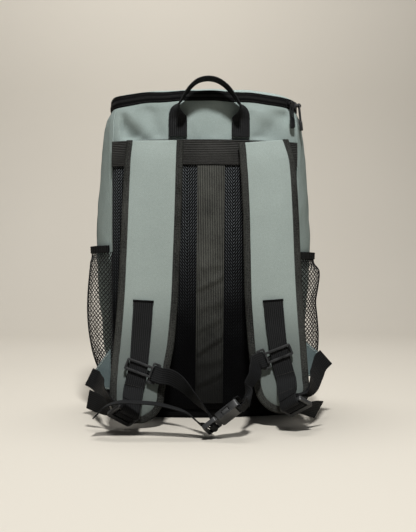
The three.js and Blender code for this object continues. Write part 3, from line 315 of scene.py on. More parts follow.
def open_mesh(name, slot, thread, hole):
    """Black spacer mesh: small holes in rows that run down to a point on each side of the spine, with
    painted shade that darkens its threads low down.
    """
    finish = Finish(name, slot, roughness=0.8, specular_ior_level=0.06)
    u, v = finish.flat()
    rows = v - MESH_SLANT * abs(u - MESH_MIDDLE).zigzag(MESH_TURN)
    row = (rows * (2 * math.pi / MESH_ROW)).sine()
    hole_between = (u * (2 * math.pi / MESH_HOLE)).sine()
    thread_high = (row + hole_between * 0.5).between(-0.2, 1.1)
    lit = finish.noise(scale=25, detail=3)
    # painted shade: threads darker towards the bottom of the pack
    shade = thread_high * finish.painted_shade(0.05, 0.34, 0.03) + lit.swing(0.3)
    finish.feed("Base Color", finish.mix(shade.between(), hole, thread))
    finish.bump(thread_high, distance=0.001, strength=0.9)
    return finish


def moulded(name, slot, light, dark, rough, metallic=0.0):
    """Moulded plastic or cast metal with a fine grain and its sharp edges lighter."""
    finish = Finish(name, slot, specular_ior_level=0.4, metallic=metallic)
    # sharp edges lighter in colour
    lighter_edges = finish.node("ShaderNodeNewGeometry", output="Pointiness").between(0.5, 0.58)
    grain = finish.noise(scale=1500, detail=2)
    handled = finish.noise(scale=120, detail=4)
    shade = lighter_edges * 0.7 + handled.swing(0.6) + 0.15
    finish.feed("Base Color", finish.mix(shade.between(), dark, light))
    finish.feed("Roughness", rough + handled.swing(0.3))
    finish.bump(grain, distance=0.0001, strength=0.4)
    return finish


body_cloth = woven_cloth(
    "grey_body_cloth", "body_cloth", "98A4A1", "7C8885", pitch=0.0009, rough=0.85, blotch=0.5)
# strap cloth with painted shade that darkens its lower ends
strap_cloth = woven_cloth(
    "grey_strap_cloth", "strap_cloth", "9BA6A2", "7E8884", pitch=0.0014, rough=0.8, blotch=0.4,
    sheen=0.1, darkest=0.45)
# body cloth with painted shade, for the corner tabs
tab_cloth = woven_cloth(
    "shaded_tab_cloth", "body_cloth", "6C7A7B", "4E5A5C", pitch=0.0009, rough=0.75, blotch=0.7, sheen=0.1)
black_cloth = woven_cloth(
    "black_tape_cloth", "black_cloth", "121213", "060607", pitch=0.0008, rough=0.8, blotch=0.5)
bound_tape = woven_cloth(
    "dark_binding_tape", "binding", "434441", "060606", pitch=0.0021, rough=0.75, blotch=0.9, flecks=1.1)
air_mesh = open_mesh("black_air_mesh", "air_mesh", "525659", "030304")
web = ribbed_webbing("black_webbing", "242526", "080809", pitch=0.0025)
# spine band with painted shade, nearly black at its bottom
band_web = ribbed_webbing("black_ribbed_band", "5A5B56", "0B0B0B", pitch=0.00219, darkest=0.05)
yoke_web = ribbed_webbing("black_yoke_band", "424240", "0C0C0C", pitch=0.00219)
plastic = moulded("dark_moulded_plastic", "plastic", "3C3D3E", "0D0E0F", rough=0.42)
pull_plastic = moulded("black_pull_plastic", "plastic", "1D1D1E", "070708", rough=0.4)
slider_metal = moulded("dark_slider_metal", "slider_metal", "343436", "0C0C0D", rough=0.4, metallic=0.4)
net_yarn = spun_yarn("black_net_yarn", "net", "151617", "080809")
zip_coil = spun_yarn("dark_zip_coil", "black_cloth", "232323", "0B0B0B")
grey_thread = spun_yarn("grey_thread", "body_cloth", "B5BEBA", "8D9793")
dark_thread = spun_yarn("dark_thread", "webbing", "3A3937", "161615")


# Pieces of cloth while they are cut and sewn

# A direction that no cord runs along; angles of a sharp edge, a flat face and an edge to round
CORD_UP = (0.31, 0.17, 0.93)
SHARP_ANGLE = math.radians(50)
FLAT_ANGLE = math.radians(2)
EDGE_ANGLE = math.radians(28)


class Cut:
    """Points, faces and flat lengths of a piece while it is put together, in millimetres."""

    def __init__(self):
        self.points = []
        self.faces = []
        self.lengths = []
        self.count = 0

    def add(self, points, faces, lengths):
        self.points.append(points.reshape(-1, 3))
        self.faces.extend((faces + self.count).tolist())
        self.lengths.append(lengths.reshape(-1, 2))
        self.count += len(self.points[-1])

    def grid(self, points, u, v, closed=False, looped=False, flip=False):
        """A grid of points; closed joins its last column to the first, looped its last row."""
        rows, columns = points.shape[:2]
        i, j = np.mgrid[0:rows - (not looped), 0:columns - (not closed)]
        k = (i + 1) % rows
        m = (j + 1) % columns
        corners = [(i, j), (i, m), (k, m), (k, j)]
        faces = np.stack([row * columns + column for row, column in corners], -1).reshape(-1, 4)
        u = np.append(u, 2 * u[-1] - u[-2])
        v = np.append(v, 2 * v[-1] - v[-2])
        corners = [(u[j], v[i]), (u[j + 1], v[i]), (u[j + 1], v[i + 1]), (u[j], v[i + 1])]
        lengths = np.stack([np.stack(c, -1) for c in corners], -2).reshape(-1, 4, 2)
        if flip:
            faces = faces[:, ::-1]
            lengths = lengths[:, ::-1]
        self.add(points, faces, lengths)
        return self

    def fan(self, ring, flip=False):
        """Closes a ring of points with triangles to its middle."""
        count = len(ring)
        j = np.arange(count)
        faces = np.stack([j, (j + 1) % count, np.full(count, count)], -1)
        points = np.vstack([ring, ring.mean(0)])
        if flip:
            faces = faces[:, ::-1]
        self.add(points, faces, points[faces][:, :, :2])

    def capped(self, rings, u, v):
        """A tube of rings with both of its ends closed."""
        self.grid(rings, u, v, closed=True)
        self.fan(rings[0], flip=True)
        self.fan(rings[-1])
        return self

    def sheet(self, front, back, u, v):
        """A closed sheet between two grids of the same size."""
        rows, columns = front.shape[:2]
        index = np.arange(rows * columns).reshape(rows, columns)
        at = np.concatenate([index[0, :-1], index[:-1, -1], index[-1, :0:-1], index[:0:-1, 0]])
        under = at + rows * columns
        edge = np.stack([np.roll(at, -1), at, under, np.roll(under, -1)], -1) + self.count
        self.grid(front, u, v)
        self.grid(back, u, v, flip=True)
        self.faces.extend(edge.tolist())
        self.lengths.append(np.stack([u[at % columns], v[at // columns]], -1).repeat(4, 0))
        return self

    def tube(self, path, radius, sides, normals=CORD_UP):
        """A round cord along a path of points, of one radius or a radius for each point."""
        radius = np.reshape(radius, (-1, 1, 1))
        ahead = np.roll(path, -1, 0) - np.roll(path, 1, 0)
        ahead[0] = path[1] - path[0]
        ahead[-1] = path[-1] - path[-2]
        ahead = unit(ahead)
        side = unit(np.cross(ahead, normals))
        up = np.cross(side, ahead)
        turn = np.arange(sides) * 2 * math.pi / sides
        ring = np.cos(turn)[:, None] * side[:, None] + np.sin(turn)[:, None] * up[:, None]
        self.capped(path[:, None] + radius * ring, turn * radius.mean(), lengths_along(path))

    def piece(self, name, finish, *stands_for):
        mesh = bpy.data.meshes.new(name)
        mesh.from_pydata((np.vstack(self.points) * MM).tolist(), [], self.faces)
        layer = mesh.uv_layers.new(name="flat")
        layer.data.foreach_set("uv", (np.vstack(self.lengths) * MM).ravel())
        return dressed(name, mesh, finish, "pack", stands_for)


def placed(name, data):
    """New object in the scene."""
    made = bpy.data.objects.new(name, data)
    scene.collection.objects.link(made)
    return made


def places_of(mesh):
    co = np.zeros(len(mesh.vertices) * 3)
    mesh.vertices.foreach_get("co", co)
    return co.reshape(-1, 3)


def dressed(name, mesh, finish, body, stands_for, radius=None):
    """Object of a mesh on its body, in place of its CAD nodes; a radius rounds its edges."""
    work = bmesh.new()
    work.from_mesh(mesh)
    if radius:
        bmesh.ops.dissolve_limit(work, angle_limit=FLAT_ANGLE, verts=work.verts, edges=work.edges)
        edges = [e for e in work.edges if len(e.link_faces) == 2 and e.calc_face_angle() > EDGE_ANGLE]
        rounding = {"offset": radius * MM, "segments": 3, "profile": 0.5, "clamp_overlap": True}
        bmesh.ops.bevel(work, geom=edges, affect="EDGES", **rounding)
        bmesh.ops.triangulate(work, faces=[f for f in work.faces if len(f.verts) > 4])
    bmesh.ops.remove_doubles(work, verts=work.verts, dist=1e-6)
    bmesh.ops.recalc_face_normals(work, faces=work.faces)
    work.to_mesh(mesh)
    work.free()
    mesh.shade_smooth()
    mesh.set_sharp_from_angle(angle=SHARP_ANGLE)
    mesh.materials.append(finish.material)
    made = placed(name, mesh)
    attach(made, body)
    if stands_for:
        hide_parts(*stands_for)
    return made


# Shape helpers

# Noise of soft cloth: how its octaves fade, how much finer each is, and their number
CRUMPLE = (1.0, 2.0, 2)


def ease(value, low, high):
    share = np.clip((value - low) / (high - low), 0, 1)
    return share * share * (3 - 2 * share)


def comes_and_goes(value, come, go):
    """Share that rises between two values and falls again between two higher ones."""
    return ease(value, *come) * (1 - ease(value, *go))


def smooth_table(keys, values, at):
    """Smooth curve through a table's rows, at many keys."""
    slope = np.gradient(values, keys, axis=0)
    i = np.clip(np.searchsorted(keys, at) - 1, 0, len(keys) - 2)
    step = (keys[i + 1] - keys[i])[:, None]
    s = np.clip((at - keys[i])[:, None] / step, 0, 1)
    low = values[i] * (1 + 2 * s) * (1 - s) ** 2 + slope[i] * step * s * (1 - s) ** 2
    high = values[i + 1] * s * s * (3 - 2 * s) + slope[i + 1] * step * s * s * (s - 1)
    return low + high


def crumple(points, size):
    """Smooth noise at points, for the soft unevenness of cloth."""
    flat = points.reshape(-1, 3) / size
    heights = [noise.fractal(Vector(p), *CRUMPLE) for p in flat]
    return np.array(heights).reshape(points.shape[:-1])


def unit(vectors):
    return vectors / norm(vectors, axis=-1, keepdims=True)


def lengths_along(path):
    return np.append(0, np.cumsum(norm(np.diff(path, axis=0), axis=1)))


def points_at(path, lengths, at):
    """Points of a path at given lengths along it."""
    return np.stack([np.interp(at, lengths, path[:, k]) for k in range(3)], -1)


def smooth_line(points, per_span):
    """Smooth line through points that keeps its bends tight where they lie close."""
    ends = [2 * points[0] - points[1], *points, 2 * points[-1] - points[-2]]
    made = []
    for a, b, c, d in zip(ends, ends[1:], ends[2:], ends[3:]):
        k0, k1, k2 = (math.sqrt(norm(q - p)) for p, q in ((a, b), (b, c), (c, d)))
        first = ((b - a) / k0 - (c - a) / (k0 + k1) + (c - b) / k1) * k1
        last = ((c - b) / k1 - (d - b) / (k1 + k2) + (d - c) / k2) * k1
        s = np.linspace(0, 1, per_span, endpoint=False)[:, None]
        made.append(b * (2 * s ** 3 - 3 * s ** 2 + 1) + first * (s ** 3 - 2 * s ** 2 + s)
                    + c * (3 * s ** 2 - 2 * s ** 3) + last * (s ** 3 - s ** 2))
    return np.vstack([*made, points[-1:]])


# Bag

# Points round the bag's outline
BACK_COUNT = 84
SIDE_COUNT = 40
FRONT_COUNT = 64
CORNER_COUNT = 8

# Levels of the bag's cloth, closer together under the rim, and where the rim's arch starts
BAG_LEVELS = np.concatenate([np.linspace(BASE_Z, 355, 76), np.linspace(358, RIM_Z, 27)])
ARCH_FROM = 350

# Soft dents of the cloth: stretch in height, shift of the noise, size, depth
DENTS = [(0.6, 0, 42, 1.6), (0.5, 500, 17, 0.5)]

# Levels between which dents and folds come and go, and the share of the back that folds reach
DENT_LEVELS = (BASE_Z, 40), (392, 405)
FOLD_LEVELS = (362, 368), (395, RIM_Z)
FOLD_REACH = 0.95
PIPING_RADIUS = 1.3

# Sections of the base: inset from the bag's outline, height
BASE_PANEL = [(8, 0), (6, 0.3), (5.2, 1.2), (5.2, WALL)]
BASE_BAND = [
    (4.8, 0.3), (2.6, 0.8), (1.3, 2.0), (0.5, 4.5), (0, 8),
    (0, 11.2), (0.4, 11.6), (WALL, 11.6), (3.2, 6), (4.8, WALL),
]

# Lid: its rings from the rim in, its middle, the lift there, its fuller side and its length
LID_SHARES = np.concatenate([[1, 0.997, 0.992], np.linspace(0.985, 0.05, 26)])
LID_MIDDLE = np.array([0, -2.25])
LID_LIFT = 6.4
LID_FULLER = (-30, 110)
LID_LENGTH = 240

# Zip teeth from one to the next, and the levels of a bead: height, share of its size
TOOTH_PITCH = 1.5
BEAD = ((-1, 0.75), (0.2, 1), (1, 0.6))


def bag_at(z):
    """The bag's columns at levels, from back to belly, each in the shape of the levels."""
    return smooth_table(BAG[:, 0], BAG[:, 1:], np.ravel(z)).T.reshape(7, *np.shape(z))


def bag_outline(z):
    """Plan outlines of the bag, one row a level, round from the left end of the back."""
    back, side, front, back_y, bow, front_y, belly = bag_at(z[:, None])
    depth = front_y - back_y
    s = (1 - BACK_CORNER / back) * np.linspace(-1, 1, BACK_COUNT)
    back_edge = np.stack([back * s, back_y - bow * (1 - s * s)], -1)
    first = BACK_CORNER / depth
    t = first + (1 - FRONT_CORNER / depth - first) * np.linspace(0, 1, SIDE_COUNT)
    x = back + (front - back) * t + (side - (back + front) / 2) * 4 * t * (1 - t)
    right = np.stack([x, back_y + depth * t], -1)
    s = (1 - FRONT_CORNER / front) * np.linspace(1, -1, FRONT_COUNT)
    front_edge = np.stack([front * s, front_y + belly * (1 - s * s)], -1)
    left = right[:, ::-1] * (-1, 1)

    def corner(a, x, y, b):
        t = np.linspace(0, 1, CORNER_COUNT + 2)[1:-1, None]
        middle = np.stack([x, y], -1)
        return a[:, None] * (1 - t) ** 2 + middle * 2 * t * (1 - t) + b[:, None] * t * t

    return np.concatenate([
        back_edge, corner(back_edge[:, -1], back, back_y, right[:, 0]),
        right, corner(right[:, -1], front, front_y, front_edge[:, 0]),
        front_edge, corner(front_edge[:, -1], -front, front_y, left[:, 0]),
        left, corner(left[:, -1], -back, back_y, back_edge[:, 0]),
    ], 1)


def outward(outline):
    """Outward plan normals of outlines."""
    along = unit(np.roll(outline, -1, 1) - np.roll(outline, 1, 1))
    return np.stack([along[..., 1], -along[..., 0]], -1)


def outline_at(z, inset=0):
    """Plan outline of the bag at one level, moved in."""
    plan = bag_outline(np.array([float(z)]))
    return (plan - outward(plan) * inset)[0]


def rim_lift(x):
    """Height of the rim's arch, with the small waves of a sewn-in zip."""
    wave = 0.7 * np.sin(x / 9.5 + 0.8) * np.sin(x / 31 + 0.4)
    return RIM_LIFT * (1 - np.minimum(1, np.abs(x / RIM_SIDE) ** RIM_ARCH)) + wave


def zip_scale(x):
    """How much taller the zip stands on the pack's left."""
    return 1 + ZIP_WIDER * ease(-x, 30, RIM_SIDE)


def fold_depth(x, z):
    """Depth of the folds pressed into the upper back panel."""
    depth = np.zeros(np.shape(x))
    for x0, z0, x1, z1, half, full in BACK_FOLDS:
        dx, dz = x1 - x0, z1 - z0
        share = np.clip(((x - x0) * dx + (z - z0) * dz) / (dx * dx + dz * dz), 0, 1)
        away = np.hypot(x - x0 - share * dx, z - z0 - share * dz)
        depth += full * np.exp(-((away / half) ** 2))
    return depth * comes_and_goes(z, *FOLD_LEVELS)


def bag_wall(levels, inset=0.0):
    """Points of the bag's cloth at levels, with its dents and folds."""
    plan = bag_outline(levels)
    out = outward(plan)
    z = np.repeat(levels[:, None], plan.shape[1], 1)
    points = np.stack([plan[..., 0], plan[..., 1], z], -1)
    soft = sum(crumple(points * (1, 1, tall) + shift, size) * deep for tall, shift, size, deep in DENTS)
    dent = (np.abs(soft) * 1.3 + 0.2) * comes_and_goes(z, *DENT_LEVELS)
    share = np.abs(np.linspace(-1, 1, BACK_COUNT))
    panel = np.append(1 - ease(share, FOLD_REACH, 1), np.zeros(plan.shape[1] - BACK_COUNT))
    folds = fold_depth(points[..., 0], z)
    points[..., :2] -= out * (dent + inset)[..., None]
    points[..., 1] += folds * panel
    points[..., 2] += ease(z, ARCH_FROM, RIM_Z) * rim_lift(plan[..., 0])
    return points


def build_bag():
    outer = bag_wall(BAG_LEVELS)
    inner = bag_wall(BAG_LEVELS[::-1], WALL)
    u = lengths_along(outline_at(FULLEST_Z))
    v = np.concatenate([BAG_LEVELS, BAG_LEVELS[::-1]])
    bag = Cut().grid(np.concatenate([outer, inner]), u, v, closed=True, looped=True)
    bag.piece("bag_cloth", body_cloth, "body_shell")
    piping = Cut()
    for column in (BACK_COUNT + CORNER_COUNT // 2, outer.shape[1] - CORNER_COUNT // 2):
        off_corner = np.array([np.sign(outer[0, column, 0]) * 0.3, -0.3, 0])
        piping.tube(outer[:-2, column] + off_corner, PIPING_RADIUS, 8)
    piping.piece("corner_piping", body_cloth)


def base_ring(inset, z):
    plan = outline_at(BASE_Z, inset)
    return np.column_stack([plan, np.full(len(plan), z)])


def build_hoop(name, node, ring, section, u):
    """A hoop of black cloth right round the bag, with a closed section."""
    rings = np.array([ring(*row) for row in section])
    hoop = Cut().grid(rings, u, lengths_along(np.array(section)), closed=True, looped=True)
    hoop.piece(name, black_cloth, node)


def build_base():
    u = lengths_along(base_ring(0, 0))
    panel = Cut().capped(np.array([base_ring(*row) for row in BASE_PANEL]), u, np.arange(4.0))
    panel.piece("base_cloth", black_cloth, "base_panel")
    build_hoop("base_band_cloth", "base_band", base_ring, BASE_BAND, u)


def lid_ring(share, inset, drop):
    edge = outline_at(RIM_Z, inset)
    p = LID_MIDDLE + (edge - LID_MIDDLE) * share
    rise, fuller = smooth_table(LID[:, 0], LID[:, 1:], np.array([share]))[0]
    lift = LID_LIFT + (rim_lift(edge[:, 0]) - LID_LIFT) * share
    tall = ZIP_HEIGHT * (1 + (zip_scale(edge[:, 0]) - 1) * share)
    z = RIM_Z + tall + lift + rise + fuller * ease(p[:, 0], *LID_FULLER) - drop
    points = np.column_stack([p, z])
    points[:, 2] -= np.abs(crumple(points, 38)) * 2.2 * (1 - share ** 6)
    return points


def build_lid():
    inner = [lid_ring(share, WALL, WALL * (share < 1)) for share in LID_SHARES[::-1]]
    outer = [lid_ring(share, 0, 0) for share in LID_SHARES]
    v = np.linspace(0, LID_LENGTH, len(LID_SHARES) * 2)
    lid = Cut().capped(np.array(inner + outer), lengths_along(outline_at(RIM_Z)), v)
    lid.piece("lid_cloth", body_cloth, "lid")


def tape_ring(inset, above):
    edge = outline_at(RIM_Z, inset)
    return np.column_stack([edge, RIM_Z + rim_lift(edge[:, 0]) + above * zip_scale(edge[:, 0])])


def build_zip():
    u = lengths_along(tape_ring(0, 0))
    middle = ZIP_HEIGHT / 2
    seams = Cut()
    for name, edge, coil in (("body", GAP, middle - GAP / 2), ("lid", ZIP_HEIGHT - GAP, middle + GAP / 2)):
        ahead = np.sign(coil - edge)
        section = [(0.9, edge), (0.3, edge + 0.7 * ahead), (0.4, edge + 2.6 * ahead)]
        section += [(0.1, coil - 2.2 * ahead), (-0.1, coil - 1.4 * ahead)]
        section += [(0.6, coil), (2.2, coil), (2.2, edge)]
        build_hoop(f"zip_{name}_tape", f"zip_tape_{name}", tape_ring, section, u)
        out = tape_ring(-20, edge) - tape_ring(0, edge)
        add_stitches(seams, tape_ring(0.3, edge + 1.8 * ahead), out, length=2.0, thick=0.25)
    seams.piece("zip_stitches", dark_thread)
    loop = tape_ring(-0.1, middle)
    loop = np.vstack([loop, loop[:1]])
    lengths = lengths_along(loop)
    place = points_at(loop, lengths, np.arange(0, lengths[-1], TOOTH_PITCH))
    ahead = unit(np.roll(place, -1, 0) - np.roll(place, 1, 0))
    out = unit(np.cross(ahead, (0, 0, 1)))
    up = np.cross(out, ahead)
    teeth = Cut()
    for side in (-1, 1):
        shift = place + ahead * (TOOTH_PITCH / 2) * (side > 0) + up * side * 0.7
        add_beads(teeth, shift, ahead * 0.5, up * 1.1, out * 0.6)
    teeth.piece("zip_teeth", zip_coil)


def add_beads(cut, middle, along, across, out):
    """Small rounded blocks at many places, with half lengths as directions."""
    corners = []
    for h, size in BEAD:
        for a, b in ((-1, -1), (1, -1), (1, 1), (-1, 1)):
            corners.append(middle + along * a * size + across * b * size + out * h)
    points = np.stack(corners, 1)
    block = [(3, 2, 1, 0), (8, 9, 10, 11)]
    for low in (0, 4):
        block += [(low + j, low + (j + 1) % 4, low + 4 + (j + 1) % 4, low + 4 + j) for j in range(4)]
    count = len(middle)
    faces = np.array(block)[None] + len(corners) * np.arange(count)[:, None, None]
    cut.add(points, faces.reshape(-1, 4), np.zeros((count * len(block) * 4, 2)))


def add_stitches(cut, path, normals, length=2.6, gap=1.2, thick=0.35):
    """A row of sewn stitches along a path, lying on the face that the normals point out of."""
    lengths = lengths_along(path)
    at = np.arange(length / 2, lengths[-1], length + gap)
    place = points_at(path, lengths, at)
    ahead = unit(points_at(path, lengths, at + 0.5) - place + 1e-9)
    up = unit(points_at(normals, lengths, at))
    add_beads(cut, place + up * thick * 0.3, ahead * length / 2, np.cross(up, ahead) * thick, up * thick)


# Back panel

# Half widths of pad and yoke laid flat and of a seam's groove, and the bands' underside
PAD_HALF = 118
YOKE_HALF = 117
SEAM_HALF = 2.4
BAND_UNDER = PAD_THICK + 0.8

# Air in a pad that swells, and the steps of its cloth
PRESSURE = 4.0
SWELL_STEPS = 20


def back_point(x, z, out):
    """Points on the back panel, moved out from it."""
    back, _, _, back_y, bow, _, _ = bag_at(z)
    s = x / back
    slope = 2 * bow * s / back
    length = np.hypot(slope, 1)
    return np.stack([x + slope / length * out, back_y - bow * (1 - s * s) - out / length, z + 0 * x], -1)


def spine_middle(z):
    return 4 + 3 * z / YOKE_BOTTOM


def build_back_pad():
    z = np.linspace(PAD_BOTTOM, PAD_TOP, 118)[:, None]
    share = np.linspace(-1, 1, 85)[None]
    x = share * PAD_REACH * bag_at(z)[0]
    edge = np.minimum(np.minimum(z - PAD_BOTTOM, PAD_TOP - z), (1 - np.abs(share)) * PAD_HALF)
    thick = 2.2 + (PAD_THICK - 2.6) * ease(edge, 0, 8)
    spine = np.abs(x - spine_middle(z)) - SPINE_WIDTH / 2
    seam = np.exp(-((spine / SEAM_HALF) ** 2)) * (z > SPINE_BOTTOM)
    seam = np.maximum(seam, np.exp(-(((z - YOKE_BOTTOM) / SEAM_HALF) ** 2)))
    thick = thick - 1.4 * seam * (edge > 4)
    front = back_point(x, z, GAP + thick)
    back = back_point(x, z, GAP)
    cut = Cut().sheet(front, back, share[0] * PAD_HALF, z[:, 0])
    pad = cut.piece("back_pad_mesh", air_mesh, "back_pad")
    under_yoke = (z > YOKE_BOTTOM) & (z < YOKE_TOP)
    under_spine = (spine < 0) & (z > SPINE_BOTTOM)
    held = (edge < 3) | (seam > 0.6) | under_yoke | under_spine
    swell(pad, np.vstack([front[held], back.reshape(-1, 3)]), 2.0)


def swell(piece, sewn, most):
    """Swells a pad with the cloth solver while its sewn places stay where they are."""
    mesh = piece.data
    rest = places_of(mesh)
    marks = {tuple(p) for p in np.round(sewn * 10).astype(int).tolist()}
    held = [i for i, p in enumerate(np.round(rest / MM * 10).astype(int).tolist()) if tuple(p) in marks]
    piece.vertex_groups.new(name="sewn").add(held, 1.0, "REPLACE")
    cloth = piece.modifiers.new("swell", "CLOTH").settings
    cloth.quality = 5
    cloth.use_pressure = True
    cloth.uniform_pressure_force = PRESSURE
    cloth.effector_weights.gravity = 0
    cloth.vertex_group_mass = "sewn"
    for step in range(SWELL_STEPS):
        scene.frame_set(step + 1)
    shown = piece.evaluated_get(bpy.context.evaluated_depsgraph_get())
    move = places_of(shown.data) - rest
    far = norm(move, axis=1, keepdims=True)
    move *= np.minimum(1, most * MM / np.maximum(far, 1e-9))
    piece.modifiers.clear()
    piece.vertex_groups.clear()
    mesh.vertices.foreach_set("co", (rest + move).ravel())
    mesh.update()
    scene.frame_set(1)
    piece.modifiers.new("smooth", "SUBSURF")


def rib_wave(count, depth):
    """Heights over a band's width for a number of round ribs, and their places from 0 to 1."""
    share = np.linspace(0, 1, count * 4 + 1)
    return share, depth * (0.5 - 0.5 * np.cos(2 * math.pi * count * share))


def build_spine():
    share, ribs = rib_wave(16, 0.5)
    z = np.linspace(SPINE_BOTTOM, YOKE_BOTTOM - 1, 120)[:, None]
    x = spine_middle(z) + (share[None] - 0.5) * SPINE_WIDTH
    ruck = np.abs(crumple(np.stack([x + 0.7 * z, z * 0.6 + 0 * x, 0 * x], -1), 16)) * 0.8
    for level, rise, half, depth in SPINE_CREASES:
        away = (z - level - rise * (x - spine_middle(z))) / half
        ruck = ruck + depth * np.exp(-((away - 1) ** 2)) - 0.5 * depth * np.exp(-(away ** 2))
    ruck = ruck * ease(z, SPINE_BOTTOM, 40) + 0.5
    ends = np.minimum(share, 1 - share)[None] * SPINE_WIDTH
    out = BAND_UNDER + 0.5 + (ribs + ruck) * ease(ends, 0, 3) + 0.4 * ease(ends, 0, 8)
    back = back_point(x, z, BAND_UNDER - 1)
    spine = Cut().sheet(back_point(x, z, out), back, share * SPINE_WIDTH, z[:, 0])
    spine.piece("spine_cloth", band_web, "spine_band")


def build_yoke():
    share, ribs = rib_wave(14, 0.55)
    z = (YOKE_BOTTOM + share * (YOKE_TOP - YOKE_BOTTOM))[:, None]
    across = np.linspace(-1, 1, 110)[None]
    x = across * YOKE_REACH * bag_at(z)[0]
    ruck = np.abs(crumple(np.stack([x, z * 0.5 + 0 * x, 0 * x], -1), 24)) * 0.8
    front = back_point(x, z, BAND_UNDER + 0.6 + ribs[:, None] + ruck).swapaxes(0, 1)
    back = back_point(x, z, BAND_UNDER - 1).swapaxes(0, 1)
    yoke = Cut().sheet(front, back, z[:, 0] - YOKE_BOTTOM, across[0] * YOKE_HALF)
    yoke.piece("yoke_cloth", yoke_web, "yoke_band")
    seams = Cut()
    x = np.linspace(-112, 112, 120)
    for level in (YOKE_BOTTOM + 1.6, YOKE_TOP - 1.6):
        path = back_point(x, level, BAND_UNDER + 1.5)
        add_stitches(seams, path, back_point(x, level, BAND_UNDER + 20) - path)
    seams.piece("yoke_stitches", dark_thread)


# Shoulder straps

# Length over which a strap thickens from its sewn top, and its half width laid flat
STRAP_SEWN = 28
STRAP_HALF = 32

# Half of the binding's section: share of its width, share of its half thickness
BINDING_HALF = [(-0.02, 0.9), (0.03, 1.05), (0.2, 1.08), (0.5, 1.02), (0.78, 0.86), (0.94, 0.55), (1, 0)]


class Strap:
    """A shoulder strap's middle line, and the place of any point along, across and out of it."""

    def __init__(self, rows):
        self.rows = rows[::-1]
        self.line = smooth_line(rows[:, :3], 60)
        self.arc = lengths_along(self.line)
        self.length = self.arc[-1]
        self.round_from = self.length - STRAP_END

    def at(self, along):
        return points_at(self.line, self.arc, np.clip(along, 0, self.length))

    def point(self, along, across, out):
        along = np.clip(along, 0.5, self.length - 0.5)
        at = self.at(along)
        ahead = unit(self.at(along + 0.5) - self.at(along - 0.5))
        turn = np.radians(np.interp(at[..., 2], self.rows[:, 2], self.rows[:, 4]))
        side = np.stack([np.cos(turn), np.sin(turn), 0 * turn], -1)
        side = unit(side - ahead * np.sum(side * ahead, -1, keepdims=True))
        face = np.cross(ahead, side)
        return at + side * across[..., None] + face * out[..., None]

    def half(self, along, inset):
        level = self.at(np.minimum(along, self.round_from))[..., 2]
        full = np.interp(level, self.rows[:, 2], self.rows[:, 3]) / 2
        share = np.clip((along - self.round_from) / (STRAP_END - inset), 0, 0.997)
        return (full - inset) * np.sqrt(1 - share * share)

    def stations(self, inset, straight, bend):
        turn = np.radians(np.linspace(0, 85.5, bend + 1))[1:]
        first = np.linspace(0, self.round_from, straight)
        return np.concatenate([first, self.round_from + (STRAP_END - inset) * np.sin(turn)])


def build_strap(side):
    strap = Strap(STRAPS[side])
    inset = BINDING_WIDTH - 0.6
    along = strap.stations(inset, 84, 14)[:, None]
    share = np.sin(np.linspace(-1, 1, 23) * math.pi / 2)[None]
    half = strap.half(along, inset)
    sewn = 0.55 + 0.45 * ease(along, 0, STRAP_SEWN)
    tip = 1 - 0.4 * ease(along, strap.round_from + 8, strap.length)
    crown = STRAP_EDGE - 0.4 + (STRAP_MIDDLE - 2.4 - STRAP_EDGE) * (1 - share ** 4)
    thick = crown * sewn * tip / 2
    full = along + 0 * share
    front = strap.point(full, share * half, thick)
    back = strap.point(full, share * half, -thick)
    cut = Cut().sheet(front, back, share[0] * STRAP_HALF, along[:, 0])
    pad = cut.piece(f"strap_pad_{side}", strap_cloth, f"shoulder_strap_{side}")
    rim = (np.abs(share) > 0.97) | (along < 4) | (along > strap.length - 10)
    swell(pad, np.vstack([front[rim], back[rim]]), 1.4)
    build_binding(side, strap)


def build_binding(side, strap):
    """Tape folded over the strap's edge, down one side, round the end and up the other."""
    def loop(inset):
        along = strap.stations(inset, 90, 22)
        across = strap.half(along, inset)
        return np.concatenate([along, along[::-1]]), np.concatenate([-across, across[::-1]])

    outer_along, outer_across = loop(0)
    half = BINDING_THICK / 2 * (0.7 + 0.3 * ease(outer_along, 0, STRAP_SEWN))
    section = BINDING_HALF + [(s, -h) for s, h in BINDING_HALF[-2::-1]]
    outer = strap.point(outer_along, outer_across, 0 * half)
    inner = strap.point(*loop(BINDING_WIDTH), 0 * half)
    face = strap.point(outer_along, outer_across, 0 * half + 1) - outer
    lengths = lengths_along(outer)
    ripple = 1 + 0.05 * np.sin(lengths / 4.1) * np.sin(lengths / 13)
    rings = [inner + (outer - inner) * s + face * (half * h * ripple)[:, None] for s, h in section]
    u = lengths_along(np.array(section) * (BINDING_WIDTH, 3))
    binding = Cut().capped(np.stack(rings, 1), u, lengths)
    binding.piece(f"binding_tape_{side}", bound_tape, f"strap_binding_{side}")
    path = inner + (outer - inner) * 0.24 + face * (half * 1.06)[:, None]
    row = Cut()
    add_stitches(row, path, face, length=2.2, gap=1.3, thick=0.25)
    row.piece(f"binding_stitches_{side}", dark_thread)


# Webbing

# Rings made between two of the CAD band's, and the width of a doubled end laid flat
BAND_FINER = 5
DOUBLED_WIDTH = 25


def welded(node):
    """Points, in millimetres, and triangles of a CAD node with shared corners joined."""
    mesh = nodes[node].data
    co = places_of(mesh) / MM
    triangles = np.array([p.vertices[:] for p in mesh.polygons])
    _, first, index = np.unique(np.round(co * 100), axis=0, return_index=True, return_inverse=True)
    return co[first], index.ravel()[triangles]


